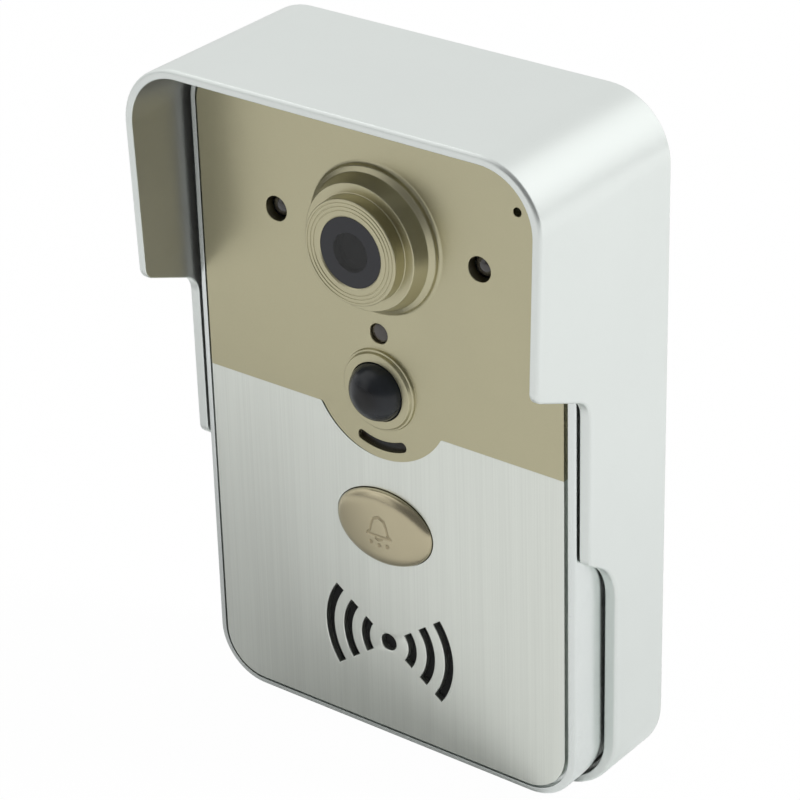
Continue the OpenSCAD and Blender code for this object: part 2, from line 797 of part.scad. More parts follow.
// Round lamp with a ball end and a collar at its foot.
module lamp(r, h, collar_r, collar_h) {
    cylinder(r = collar_r, h = collar_h);
    cylinder(r = r, h = h - r);
    translate([0, 0, h - r]) intersection() {
        sphere(r);
        translate([0, 0, -thin]) cylinder(r = r + cut, h = r + cut);
    }
}

module infrared_lamps() {
    color("darkslateblue") stood_up() for (x = [-lamp_x, lamp_x])
        translate([x, camera_y, board_z]) lamp(lamp_r, lamp_h, lamp_collar_r, lamp_collar_h);
}

module light_sensor() {
    color("darkslategray") stood_up() translate([0, light_y, board_z])
        lamp(light_r, light_h, light_r + 0.4, lamp_collar_h);
}

// Hollow black lens: a tube with a domed end and a flange behind the floor.
module motion_lens() {
    apex_z = fascia_z + pir_ring_h + pir_rise;
    color("black") stood_up() translate([0, pir_y, 0]) difference() {
        union() {
            intersection() {
                bar(0, 0, pir_r, floor_back_z - pir_flange_t, apex_z + cut);
                translate([0, 0, apex_z - pir_ball_r]) sphere(pir_ball_r);
            }
            bar(0, 0, pir_flange_r, floor_back_z - pir_flange_t, floor_back_z);
            bar(0, 0, pir_r, floor_back_z - pir_flange_t, fascia_back_z);
        }
        intersection() {
            bar(0, 0, pir_r - pir_shell, floor_back_z - pir_flange_t - cut, apex_z);
            translate([0, 0, apex_z - pir_ball_r]) sphere(pir_ball_r - pir_shell);
        }
        bar(0, 0, pir_r - pir_shell, floor_back_z - pir_flange_t - cut, fascia_back_z);
    }
}

module motion_sensor() {
    color("goldenrod") stood_up() translate([0, pir_y, board_z]) difference() {
        union() {
            cylinder(r = pir_base_r, h = pir_base_h);
            cylinder(r = pir_can_r, h = pir_can_h);
        }
        block(0, 0, pir_can_h - pir_pane.z, pir_pane + [0, 0, cut]);
    }
}

module status_light_guide() {
    w = status_w - 2 * fit_gap;
    color("darkslategray") stood_up() slab(status_foot_z, fascia_z - status_sink)
        polygon(curved_slot([0, pir_y], status_r, w, 270 - status_angle, 270 + status_angle));
}

module status_leds() {
    color("white") stood_up() for (a = [-led_angle, led_angle])
        translate([0, pir_y, board_z]) rotate([0, 0, a]) block(0, -status_r, 0, led_size);
}

module microphone() {
    front_z = floor_back_z - mic_boot_front;
    color("silver") stood_up() bar(mic_x, mic_y, mic_r, front_z - mic_h, front_z);
}

module microphone_boot() {
    back_z = floor_back_z - mic_boot_front - mic_h;
    color("dimgray") stood_up() difference() {
        bar(mic_x, mic_y, mic_r + mic_boot_wall, back_z, floor_back_z);
        bar(mic_x, mic_y, mic_r + thread_gap, back_z - cut, floor_back_z - mic_boot_front);
        bar(mic_x, mic_y, mic_hole_r, back_z, floor_back_z + cut);
    }
}

// Oval cap with a sloping edge and a slightly crowned face, a flange behind the floor and a stem.
module call_button() {
    top_z = plate_z + button_rise;
    foot_z = button_flange_z + button_flange_t;
    color("tan") stood_up() translate([0, button_h, 0]) {
        intersection() {
            hull() {
                slab(foot_z - thin, top_z - button_bevel_h) polygon(oval(button_rx, button_ry));
                slab(top_z - thin, top_z)
                    polygon(oval(button_rx - button_bevel, button_ry - button_bevel));
            }
            translate([0, 0, top_z - button_crown_r]) sphere(button_crown_r);
        }
        slab(button_flange_z, foot_z)
            polygon(oval(button_rx + button_flange, button_ry + button_flange));
        bar(0, 0, button_stem_r, boot_z + boot_skin + thread_gap, button_flange_z + thin);
    }
}

module button_boot() {
    flange_rx = button_rx + button_flange + boot_gap;
    flange_ry = button_ry + button_flange + boot_gap;
    color("gray") stood_up() translate([0, button_h, 0]) difference() {
        slab(boot_z, floor_back_z) polygon(oval(flange_rx + boot_wall, flange_ry + boot_wall));
        slab(boot_z + boot_skin, floor_back_z + cut) polygon(oval(flange_rx, flange_ry));
    }
}

module button_switch() {
    color("black") stood_up() difference() {
        block(0, button_h, board_z, [switch_w, switch_w, switch_h]);
        bar(0, button_h, plunger_r + thread_gap, board_z + switch_floor, board_z + switch_h + cut);
    }
}

module switch_plunger() {
    tip_z = boot_z - thread_gap;
    color("ivory") stood_up() bar(0, button_h, plunger_r, tip_z - plunger_l, tip_z);
}

module speaker_cloth() {
    color("black") stood_up() bar(0, speaker_h, cloth_r, floor_z - cloth_t, floor_z);
}

module speaker_gasket() {
    color("dimgray") stood_up() difference() {
        bar(0, speaker_h, speaker_r, speaker_z, floor_back_z);
        bar(0, speaker_h, sound_port_r, speaker_z - cut, floor_back_z + cut);
    }
}

module speaker_frame() {
    back = -rim_t - basket_h;
    color("slategray") stood_up() translate([0, speaker_h, speaker_z]) rotate_extrude() polygon([
        [sound_port_r, 0],
        [speaker_r, 0],
        [speaker_r, -rim_t],
        [speaker_r - basket_t, -rim_t],
        [magnet_r + basket_t, back],
        [coil_r + fit_gap, back],
        [coil_r + fit_gap, back + basket_t],
        [magnet_r, back + basket_t],
        [sound_port_r, -rim_t]]);
}

module speaker_cone() {
    color("dimgray") stood_up() translate([0, speaker_h, speaker_z - cone_t]) rotate_extrude() polygon([
        [cone_r, 0],
        [cone_r, -cone_t],
        [cone_r - rim_w, -cone_t],
        [coil_r, -cone_h],
        [coil_r, -rim_t - basket_h + basket_t],
        [0, -rim_t - basket_h + basket_t],
        [0, -cone_h + 2 * cone_t],
        [coil_r, -cone_h + cone_t],
        [cone_r - rim_w, 0]]);
}

module speaker_magnet() {
    back_z = speaker_z - rim_t - basket_h;
    color("darkgray") stood_up() bar(0, speaker_h, magnet_r, back_z - magnet_h, back_z);
}

module main_board() {
    color("darkgreen") stood_up() slab(board_back_z, board_z) difference() {
        translate([0, board_y]) rounded_rect(board_w, board_h, board_corner_r, board_corner_r);
        for (x = [-board_screw_x, board_screw_x], y = board_screw_ys)
            translate([x, y]) circle(board_screw_r + fit_gap);
    }
}

module board_screws() {
    color("darkgray") stood_up() for (x = [-board_screw_x, board_screw_x], y = board_screw_ys)
        translate([x, y, board_back_z]) screw(board_screw_r, board_screw_l, board_head_r, board_head_h);
}

// Places the children once for each wire of the terminal block.
module each_terminal() {
    for (i = [-1.5 : 1.5]) translate([i * terminal_pitch, terminal_y, 0]) children();
}

module terminal_block() {
    color("seagreen") stood_up() difference() {
        block(0, terminal_y, terminal_z, [terminal_w, terminal_h, board_back_z - terminal_z]);
        each_terminal() {
            bar(0, 0, terminal_head_r + fit_gap, terminal_z - cut, terminal_wire_z);
            translate([0, 0, terminal_wire_z]) rotate([90, 0, 0])
                cylinder(r = terminal_wire_r, h = terminal_h / 2 + cut);
        }
    }
}

module terminal_screws() {
    color("silver") stood_up() each_terminal()
        bar(0, 0, terminal_head_r, terminal_z + terminal_head_sink,
            terminal_wire_z - terminal_wire_r - fit_gap);
}

module wireless_module() {
    color("silver") stood_up()
        block(wireless_x, camera_y - wireless_size.y, board_back_z - wireless_size.z, wireless_size);
}

rain_hood();
front_case();
rear_case();
case_seal();
case_screws();
lock_screw();
upper_fascia();
lower_plate();
camera_window();
lens_glass();
lens_barrel();
lens_holder();
image_sensor();
camera_board();
infrared_lamps();
light_sensor();
motion_lens();
motion_sensor();
status_light_guide();
status_leds();
microphone();
microphone_boot();
call_button();
button_boot();
button_switch();
switch_plunger();
speaker_cloth();
speaker_gasket();
speaker_frame();
speaker_cone();
speaker_magnet();
main_board();
board_screws();
terminal_block();
terminal_screws();
wireless_module();
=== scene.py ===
import math

import bmesh
import bpy
from mathutils import Matrix, Vector


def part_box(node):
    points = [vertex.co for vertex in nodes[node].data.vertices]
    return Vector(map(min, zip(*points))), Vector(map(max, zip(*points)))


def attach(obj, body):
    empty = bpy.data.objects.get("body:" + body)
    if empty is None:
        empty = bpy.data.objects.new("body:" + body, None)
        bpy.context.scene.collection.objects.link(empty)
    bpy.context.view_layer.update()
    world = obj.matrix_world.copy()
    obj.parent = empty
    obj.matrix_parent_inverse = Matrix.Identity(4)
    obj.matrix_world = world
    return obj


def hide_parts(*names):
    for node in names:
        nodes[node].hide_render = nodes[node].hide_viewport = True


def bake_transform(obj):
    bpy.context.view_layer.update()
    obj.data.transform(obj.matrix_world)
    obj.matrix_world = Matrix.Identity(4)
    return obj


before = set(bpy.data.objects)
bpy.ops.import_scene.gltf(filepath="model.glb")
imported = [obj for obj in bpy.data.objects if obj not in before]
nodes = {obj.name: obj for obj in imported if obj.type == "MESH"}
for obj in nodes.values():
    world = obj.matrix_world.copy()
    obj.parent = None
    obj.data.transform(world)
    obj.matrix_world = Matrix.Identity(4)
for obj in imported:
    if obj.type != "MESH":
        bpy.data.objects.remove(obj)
scene = bpy.context.scene
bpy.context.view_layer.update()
mm = 0.001
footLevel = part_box("rain_hood")[0].z
print("frame:", len(nodes), "nodes")


def place(x, up, out):  # panel millimetres: right, up from the foot, out of the wall
    return Vector((x * mm, -out * mm, footLevel + up * mm))


def span(node):  # how far a node reaches, in panel millimetres
    low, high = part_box(node)
    reach = {"left": low.x / mm, "right": high.x / mm, "back": -high.y / mm, "front": -low.y / mm}
    return dict(reach, foot=(low.z - footLevel) / mm, top=(high.z - footLevel) / mm)


def middle(node):
    reach = span(node)
    return (reach["left"] + reach["right"]) / 2, (reach["foot"] + reach["top"]) / 2


def fourMiddles(node):  # middles of the four solids of a node
    x, up = middle(node)
    groups = {}
    for vertex in nodes[node].data.vertices:
        spot = (vertex.co.x / mm, (vertex.co.z - footLevel) / mm)
        groups.setdefault((spot[0] > x, spot[1] > up), []).append(spot)
    return [[(min(line) + max(line)) / 2 for line in zip(*group)] for group in groups.values()]


caseSpan = span("front_case")
plateSpan = span("lower_plate")
fasciaSpan = span("upper_fascia")
cameraAt = middle("camera_window")
motionAt = middle("motion_lens")
lightAt = middle("light_sensor")
micAt = middle("microphone")
buttonAt = middle("call_button")
speakerAt = middle("speaker_cloth")
lampSpan = span("infrared_lamps")
motionUp, cameraUp = motionAt[1], cameraAt[1]
lampX = lampSpan["right"] - (lampSpan["top"] - lampSpan["foot"]) / 2
floorBack = span("speaker_gasket")["front"]  # rear of the floor behind the fascia


# Outlines

def arc(x, y, radius, start, end, steps):
    angles = [math.radians(start + (end - start) * k / steps) for k in range(steps + 1)]
    return [Vector((x + radius * math.cos(a), y + radius * math.sin(a))) for a in angles]


def circle(x, y, radius, count=96):
    return arc(x, y, radius, 0, 360, count)[:-1]


def oval(x, y, rx, ry, count=144):
    angles = [math.tau * k / count for k in range(count)]
    return [Vector((x + rx * math.cos(a), y + ry * math.sin(a))) for a in angles]


def quarter(steps):  # angles of a quarter turn
    return [math.pi / 2 * k / steps for k in range(steps + 1)]


def roundEdge(radius, steps):  # distances in from the side and back from the front
    return [(radius * (1 - math.cos(a)), radius * (1 - math.sin(a))) for a in quarter(steps)]


def softened(path, step):  # rounds the corners of a path of x, y and radius
    points = []
    for i, (x, y, radius) in enumerate(path):
        here = Vector((x, y))
        if radius == 0 or i in (0, len(path) - 1):
            points.append(here)
            continue
        before = (Vector(path[i - 1][:2]) - here).normalized()
        after = (Vector(path[i + 1][:2]) - here).normalized()
        half = before.angle(after) / 2
        centre = here + (before + after).normalized() * radius / math.sin(half)
        start = here + before * radius / math.tan(half) - centre
        turn = math.pi - 2 * half
        if before.x * after.y - before.y * after.x > 0:
            turn = -turn
        steps = max(2, math.ceil(abs(math.degrees(turn)) / step))
        points += [centre + Matrix.Rotation(turn * k / steps, 2) @ start for k in range(steps + 1)]
    return points


def eased(value):  # 0 to 1 with a soft start and end
    t = min(max(value, 0), 1)
    return t * t * (3 - 2 * t)


def wound(loop, left):  # turns a loop so that the plate lies on its left
    area = sum(a.x * b.y - a.y * b.x for a, b in zip(loop, loop[1:] + loop[:1]))
    return loop if (area > 0) == left else loop[::-1]


def moved(loop, inwards):  # shifts a loop to its left
    sharpest = 0.3  # keeps narrow corners from shooting out
    points = []
    for i, here in enumerate(loop):
        before = (here - loop[i - 1]).normalized()
        after = (loop[(i + 1) % len(loop)] - here).normalized()
        side = Vector((-before.y - after.y, before.x + after.x)).normalized()
        points.append(here + side * inwards / max(side.dot(Vector((-after.y, after.x))), sharpest))
    return points


def roundBox(shape, inset=0, steps=14):  # rounded rectangle with as many points at any inset
    right, foot, top = shape["right"], shape["foot"], shape["top"]
    low, high = shape["footCorner"], shape["topCorner"]
    return (
        arc(right - low, foot + low, low - inset, -90, 0, steps)
        + arc(right - high, top - high, high - inset, 0, 90, steps)
        + arc(high - right, top - high, high - inset, 90, 180, steps)
        + arc(low - right, foot + low, low - inset, 180, 270, steps)
    )


# Meshes

meshLook = {"sharp": 35, "meet": 1e-6, "edgeSteps": 4, "bossPoints": 40}


def addRing(bm, points):
    return [bm.verts.new(place(*point)) for point in points]


def addLevel(bm, loop, out):  # a loop at one distance from the wall
    return addRing(bm, [(p.x, p.y, out) for p in loop])


def join(bm, first, second):  # faces between two rings or single points
    if len(first) == 1 or len(second) == 1:
        tip, rim = (first[0], second) if len(first) == 1 else (second[0], first)
        for i in range(len(rim)):
            bm.faces.new((tip, rim[i], rim[(i + 1) % len(rim)]))
        return
    for i in range(len(first)):
        k = (i + 1) % len(first)
        bm.faces.new((first[i], first[k], second[k], second[i]))


def joinAll(bm, rings):
    for first, second in zip(rings, rings[1:]):
        join(bm, first, second)


def fill(bm, loops, way=(0, -1, 0)):  # one flat face with its holes
    edges = []
    for loop in loops:
        for a, b in zip(loop, loop[1:] + loop[:1]):
            edges.append(bm.edges.get((a, b)) or bm.edges.new((a, b)))
    bmesh.ops.triangle_fill(bm, edges=edges, use_beauty=True, normal=way)


def addPlate(bm, loops, back, front):  # with holes; each loop has the radius of its front edge
    backs, fronts = [], []
    for index, (loop, edge) in enumerate(loops):
        loop = wound(loop, index == 0)
        rings = [addLevel(bm, loop, back)]
        for inset, sink in roundEdge(edge, meshLook["edgeSteps"]) if edge else [(0, 0)]:
            rings.append(addLevel(bm, moved(loop, inset), front - sink))
        joinAll(bm, rings)
        backs.append(rings[0])
        fronts.append(rings[-1])
    fill(bm, backs)
    fill(bm, fronts)


def addLathe(bm, x, up, profile, count=96):  # profile of radius and distance from the wall
    rings = []
    for radius, out in profile:
        spots = circle(x, up, radius, count) if radius > meshLook["meet"] else [Vector((x, up))]
        rings.append(addLevel(bm, spots, out))
    joinAll(bm, rings)


def addBlock(bm, sides, ends, levels, edge):  # block with a small bevel all round
    left, right, foot, top, back, front = *sides, *ends, *levels
    corners = [Vector(spot) for spot in ((left, foot), (right, foot), (right, top), (left, top))]
    rows = [(edge, back), (0, back + edge), (0, front - edge), (edge, front)]
    rings = [addLevel(bm, moved(corners, inset), out) for inset, out in rows]
    joinAll(bm, rings)
    fill(bm, rings[:1])
    fill(bm, rings[-1:])


def newObject(name, bm):
    mesh = bpy.data.meshes.new(name)
    bm.to_mesh(mesh)
    bm.free()
    made = bpy.data.objects.new(name, mesh)
    scene.collection.objects.link(made)
    return made


def makePiece(name, bm, body, sharp=meshLook["sharp"], skins=1):
    bmesh.ops.remove_doubles(bm, verts=bm.verts, dist=meshLook["meet"])
    bmesh.ops.recalc_face_normals(bm, faces=bm.faces)
    piece = newObject(name, bm)
    piece.data.shade_smooth()
    piece.data.set_sharp_from_angle(angle=math.radians(sharp))
    for skin in range(skins):  # places for its finishes
        piece.data.materials.append(None)
    even = piece.modifiers.new("evenShading", "WEIGHTED_NORMAL")
    even.keep_sharp = True
    if body:  # a piece without a body is left unattached
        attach(piece, body)
    return piece


# Rain hood

hoodLook = {
    "half": 50.05, "height": 151.2,
    "lean": 0.55, "roofRise": 0.2, "roofFoot": (106, 32), "toeIn": 0.9, "toeTop": (138, 34),
    "footCorner": 14.6, "topCorner": 14.0, "cornerSteps": 15, "flatSteps": 12, "turnStep": 7.5,
    "side": 3.5, "footWall": 2.3, "back": 2.5,
    "outDraft": 0.15, "inDraft": (0.95, 0.45),
    "lowDepth": 17.2, "midDepth": 26.9, "visorDepth": 43.05,
    "steps": ((55.3, 12), (61.2, 2.5), (97.4, 5), (103.8, 2.8)),  # height and radius of each turn
    "rim": (0.7, 0.6, 0.8), "innerRim": 0.25, "rib": (2.2, 0.6, 0.15), "backEdge": 0.5,
    "paintedRings": 18,  # from the wall to the inner edge of the rim
    "apart": 1e-4,
    "wallScrews": (60, 100), "wallHole": 2.25, "cableWindow": (40, 24, 3),
    "lockHole": (1.6, 3.0, 1.4), "lockCut": (-0.5, 0.05, 3),
    "root": 2.2,  # pads and hooks start inside the back wall
    "padR": 4, "padX": 16,
    "hookX": 24, "hookW": 10, "hookDrop": 2.1, "hookGap": 0.3,
    "hookTip": (1.1, 0.6), "hookReach": (2.3, 4.3), "hookEdge": 0.15,
}


def hoodColumns():  # outer and inner anchor, way out, depth of the front edge and its slope
    look, half, top = hoodLook, hoodLook["half"], hoodLook["height"]
    shallow, mid, deep = look["lowDepth"], look["midDepth"], look["visorDepth"]
    low, high, wall = look["footCorner"], look["topCorner"], look["side"]
    depths, turns = (shallow, shallow, mid, mid, deep, deep), [(low, 0), *look["steps"], (top - high, 0)]
    line = softened([(depth, *turn) for depth, turn in zip(depths, turns)], look["turnStep"])
    cheek = []
    for i, point in enumerate(line):
        along = line[min(i + 1, len(line) - 1)] - line[max(i - 1, 0)]
        cheek.append((point, Vector((along.y, -along.x)).normalized()))
    straight = Vector((1, 0))
    columns = []

    def addCorner(x, up, upInner, radius, start, depth):
        steps = look["cornerSteps"]
        for k in range(1, steps + 1):
            a = math.radians(start + 90 * k / steps)
            way = Vector((math.cos(a), math.sin(a)))
            outer, inner = Vector((x, up)), Vector((x, upInner))
            columns.append((outer, radius, inner, radius - wall, way, depth, straight))

    def addCheek(side, edge):
        for point, slope in edge:
            spot = Vector((0, point.y))
            columns.append((spot, half, spot, half - wall, Vector((side, 0)), point.x, slope))

    def addFlat(side, reach, out, inside, depth):
        steps = look["flatSteps"]
        for k in range(steps + 1):
            spot = Vector((reach * (1 - 2 * k / steps), 0))
            columns.append((spot, out, spot, inside, Vector((0, side)), depth, straight))

    footUp = look["footWall"] + low - wall
    addCheek(1, cheek)
    addCorner(half - high, top - high, top - high, high, 0, deep)
    addFlat(1, half - high, top, top - wall, deep)
    addCorner(high - half, top - high, top - high, high, 90, deep)
    addCheek(-1, cheek[::-1])
    addCorner(low - half, low, footUp, low, 180, shallow)
    addFlat(-1, low - half, 0, -look["footWall"], shallow)
    addCorner(half - low, low, footUp, low, 270, shallow)
    return columns


def hoodSpot(x, up, level):  # leans the cheeks, lifts the roof and draws the cheeks' free ends in
    look, deep, mid = hoodLook, hoodLook["visorDepth"], hoodLook["midDepth"]
    toeTop, toeFade = look["toeTop"]
    roofFoot, roofFade = look["roofFoot"]
    drawn = look["toeIn"] * eased((level - mid) / (deep - mid)) * eased((toeTop - up) / toeFade)
    wide = 1 + (look["lean"] * up / look["height"] - drawn) / look["half"]
    lift = look["roofRise"] * level / deep * eased((up - roofFoot) / roofFade)
    return x * wide, up + lift, level


def hoodRow(column):  # one section from the wall over the rim and back inside
    outer, reach, inner, inside, way, depth, slope = column
    look, deep, back = hoodLook, hoodLook["visorDepth"], hoodLook["back"]
    low, mid = look["lowDepth"], look["midDepth"]
    row = []

    def out(inset, sink, level):
        spot = outer + way * (reach - look["outDraft"] * level / deep - inset)
        row.append(hoodSpot(spot.x, spot.y - sink * slope.y, level))

    def within(inset, sink, level):
        spread = look["inDraft"][0] * (min(level, mid) - back) / (mid - back)
        spread += look["inDraft"][1] * max(level - mid, 0) / (deep - mid)
        spot = inner + way * (inside + spread + inset)
        row.append(hoodSpot(spot.x, spot.y - sink * slope.y, level))

    first, second, last = look["rim"]
    rim = first + (second - first) * eased((depth - low) / (mid - low))
    rim += (last - second) * eased((depth - mid) / (deep - mid))
    edge, lip, parts = look["backEdge"], look["innerRim"], (0.25, 0.5, 0.75, 1)
    for inset, sink in roundEdge(edge, 3):
        out(sink, 0, inset)
    end = depth - rim * slope.x
    for t in parts:
        out(0, rim * t, edge + (end - edge) * t)
    for inset, sink in roundEdge(rim, 6)[1:]:
        out(inset, sink, depth - sink * slope.x)
    for inset, sink in roundEdge(lip, 3)[::-1]:
        within(inset, sink, depth - sink * slope.x)
    drop, thick, bevel = look["rib"]  # a rib inside closes the gap around the case
    start, end = depth - lip * slope.x, min(depth, mid) - drop
    for t in parts:
        within(0, lip * (1 - t), start + (end - start) * t)
    foot = end - bevel
    for t in (0, 0.5, 1):
        within(-thick, 0, foot + (back - foot) * t)
    return row


def addBackWall(bm, rim, innerRim):  # with the screw holes and the cable window
    look, centre = hoodLook, hoodLook["height"] / 2
    dx, dy = (gap / 2 for gap in look["wallScrews"])
    holes = [circle(x, centre + y, look["wallHole"], 48) for x in (-dx, dx) for y in (-dy, dy)]
    wide, high, corner = look["cableWindow"]
    window = {"right": wide / 2, "foot": centre - high / 2, "top": centre + high / 2}
    holes.append(roundBox(dict(window, footCorner=corner, topCorner=corner), 0, 8))
    backs = [addLevel(bm, hole, 0) for hole in holes]
    fronts = [addLevel(bm, hole, look["back"]) for hole in holes]
    for a, b in zip(backs, fronts):
        join(bm, a, b)
    fill(bm, [rim] + backs)
    fill(bm, [innerRim] + fronts)


def addSupports(bm):
    look, root, radius = hoodLook, hoodLook["root"], hoodLook["padR"]
    back = span("rear_case")["back"]
    screws = sorted({round(up, 3) for x, up in fourMiddles("case_screws")})
    pad = [(0, root), (radius, root), (radius, back), (0, back)]
    for x in (-look["padX"], look["padX"]):  # pads behind the case
        for up in (screws[0], screws[-1]):
            addLathe(bm, x, up, pad, meshLook["bossPoints"])
    gap, edge = look["hookGap"], look["hookEdge"]
    ear, roof = caseSpan["top"] - look["hookDrop"], look["height"] - look["side"] + gap
    below, above = look["hookTip"]
    near, far = (back + reach for reach in look["hookReach"])
    for x in (-look["hookX"], look["hookX"]):  # hooks that the case hangs on
        sides = (x - look["hookW"] / 2, x + look["hookW"] / 2)
        addBlock(bm, sides, (ear + gap, roof), (root, far), edge)
        addBlock(bm, sides, (ear - below, ear + above), (near, far), edge)


def makeHood():
    painted, apart = hoodLook["paintedRings"], hoodLook["apart"]
    bm = bmesh.new()
    rows = []
    for row in map(hoodRow, hoodColumns()):  # leaves out columns that meet
        if not rows or (Vector(row[0]) - Vector(rows[-1][0])).length > apart:
            rows.append(row)
    if (Vector(rows[0][0]) - Vector(rows[-1][0])).length < apart:
        rows.pop()
    rings = [addRing(bm, ring) for ring in zip(*rows)]
    joinAll(bm, rings[:painted])
    outside = set(bm.faces)
    joinAll(bm, rings[painted - 1:])
    addBackWall(bm, rings[0], rings[-1])
    addSupports(bm)
    # faces inside the rim take the darker copy of the paint: painted shade
    for face in bm.faces:
        face.material_index = 0 if face in outside else 1
    hood = makePiece("rainHood", bm, "panel", skins=2)
    cutLockHole(hood)
    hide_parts("rain_hood")
    return hood


def cutLockHole(hood):  # countersunk hole for the locking screw in the foot
    hole, head, depth = hoodLook["lockHole"]
    below, rim, above = hoodLook["lockCut"]
    lock = span("lock_screw")
    out = (lock["back"] + lock["front"]) / 2
    bm = bmesh.new()
    rings = []
    for radius, up in ((head, below), (head, rim), (hole, rim + depth), (hole, above)):
        rings.append(addRing(bm, [(p.x, up, p.y) for p in circle(0, out, radius, 48)]))
    joinAll(bm, rings)
    fill(bm, rings[:1], (0, 0, 1))
    fill(bm, rings[-1:], (0, 0, 1))
    bmesh.ops.recalc_face_normals(bm, faces=bm.faces)
    tool = newObject("lockCut", bm)
    step = hood.modifiers.new("lockHole", "BOOLEAN")
    step.operation = "DIFFERENCE"
    step.object = tool
    hood.modifiers.move(1, 0)
    bpy.context.view_layer.update()
    view = bpy.context.evaluated_depsgraph_get()
    shaped = bpy.data.meshes.new_from_object(hood.evaluated_get(view))
    shaped.name = hood.name
    hood.modifiers.remove(step)
    hood.data = shaped
    bpy.data.objects.remove(tool)


# Front case

caseLook = {
    "footCorner": 11.5, "topCorner": 9.4, "rearEdge": 0.6,
    "wall": 4, "lip": 1.2, "lipDrop": 0.2,
    "sideGrow": 0.42, "sideShift": 0.25,
    "tuck": (0.58, 21.6, 16.8), "tuckSteps": 8,
    "lipEdge": 0.5, "innerEdge": (0.14, 0.04),
    "ledge": 2.1, "ledgeEdge": 0.05, "plateGap": 0.7, "grooveGap": 0.1, "sunk": 0.4,
    "floorReach": 0.2, "floorGap": (0.02, 0.1), "buttonGap": 0.35,
    "cameraPort": 7.7, "soundPort": 14.2, "clothGap": 0.1,
    "boss": (1.55, 3.2), "boardBoss": (1.25, 2.6),
}
seamLook = {
    "gap": 0.2, "tongue": 17.05, "rise": 1.2, "fillet": 0.8,
    "plateGrow": 0.03, "plateShift": -0.45,
}
seamUp = plateSpan["top"] + seamLook["gap"]
plateInset = caseLook["lip"] + caseLook["plateGap"]
caseShape = {key: caseSpan[key] for key in ("right", "foot", "top")}
caseShape.update(footCorner=caseLook["footCorner"], topCorner=caseLook["topCorner"])


def seamLine(grow, shift):  # edge of the tongue from left to right
    seam, r, fillet = seamUp - grow, seamLook["tongue"] + grow, seamLook["fillet"] - grow
    centre = motionUp + seamLook["rise"]
    drop = centre - seam + fillet
    side = math.sqrt((r + fillet) ** 2 - drop ** 2)
    lean = math.degrees(math.atan2(drop, side))
    return (
        arc(shift - side, seam - fillet, fillet, 90, lean, 12)
        + arc(shift, centre, r, 180 + lean, 360 - lean, 64)[1:-1]
        + arc(shift + side, seam - fillet, fillet, 180 - lean, 90, 12)
    )


def belowSeam(inset, grow, shift=0):
    right, low = caseShape["right"], caseShape["footCorner"]
    up = caseShape["foot"] + low
    return (
        arc(low - right, up, low - inset, 180, 270, 16)
        + arc(right - low, up, low - inset, 270, 360, 16)
        + [Vector((right - inset, seamUp - grow))]
        + seamLine(grow, shift)[::-1]
        + [Vector((inset - right, seamUp - grow))]
    )


def aboveSeam(inset):
    right, high = caseShape["right"], caseShape["topCorner"]
    up = caseShape["top"] - high
    return (
        [Vector((inset - right, seamUp))]
        + seamLine(0, 0)
        + [Vector((right - inset, seamUp))]
        + arc(right - high, up, high - inset, 0, 90, 16)
        + arc(high - right, up, high - inset, 90, 180, 16)
    )


sensorLook = {
    "lampHole": 2.65, "lightHole": 2.2, "motionHole": 6.7, "micHole": 0.9,
    "slotR": 12.85, "slotW": 2.15, "slotAngle": 23,
}


def statusSlot():
    r, w, turn = sensorLook["slotR"], sensorLook["slotW"] / 2, sensorLook["slotAngle"]
    start, end = 270 - turn, 270 + turn
    a, b = math.radians(start), math.radians(end)
    return (
        arc(0, motionUp, r + w, start, end, 24)
        + arc(r * math.cos(b), motionUp + r * math.sin(b), w, end, end + 180, 12)[1:-1]
        + arc(0, motionUp, r - w, end, start, 24)
        + arc(r * math.cos(a), motionUp + r * math.sin(a), w, start + 180, start + 360, 12)[1:-1]
    )


def sensorHoles(edge):
    look = sensorLook
    loops = [circle(x, cameraUp, look["lampHole"], 64) for x in (-lampX, lampX)]
    loops.append(circle(*lightAt, look["lightHole"], 64))
    loops += [circle(*micAt, look["micHole"], 40), statusSlot()]
    return [(loop, edge) for loop in loops]


def buttonHole(gap):
    return oval(*buttonAt, buttonLook["rx"] + gap, buttonLook["ry"] + gap)


def caseRows(rear, groove):  # inset, distance from the wall, and 1 on the outside
    look, wall, wide = caseLook, caseLook["wall"], caseLook["lip"]
    lip = caseSpan["front"] - look["lipDrop"]
    tuck, start, end = look["tuck"]  # the sides curve in behind the front
    rows = [(wall, floorBack, 0), (wall, rear, 0)]
    rows += [(tuck + sink, rear + inset, 1) for inset, sink in roundEdge(look["rearEdge"], 6)]
    for k in range(look["tuckSteps"] + 1):
        t = k / look["tuckSteps"]
        rows.append((tuck * (1 - t) ** 2, end + (start - end) * t, 1))
    rows += [(inset, lip - sink, 1) for inset, sink in roundEdge(look["lipEdge"], 4)]
    soft, near = look["innerEdge"]
    rows += [(wide - soft, lip, 0), (wide - near, lip - near, 0), (wide, lip - soft, 0)]
    ledge, edge = faceLevel - look["ledge"], look["ledgeEdge"]
    rows += [(wide, ledge + edge, 0), (wide + edge, ledge, 0)]
    return rows + [(groove, ledge, 0), (groove, floorBack + look["sunk"], 0)]


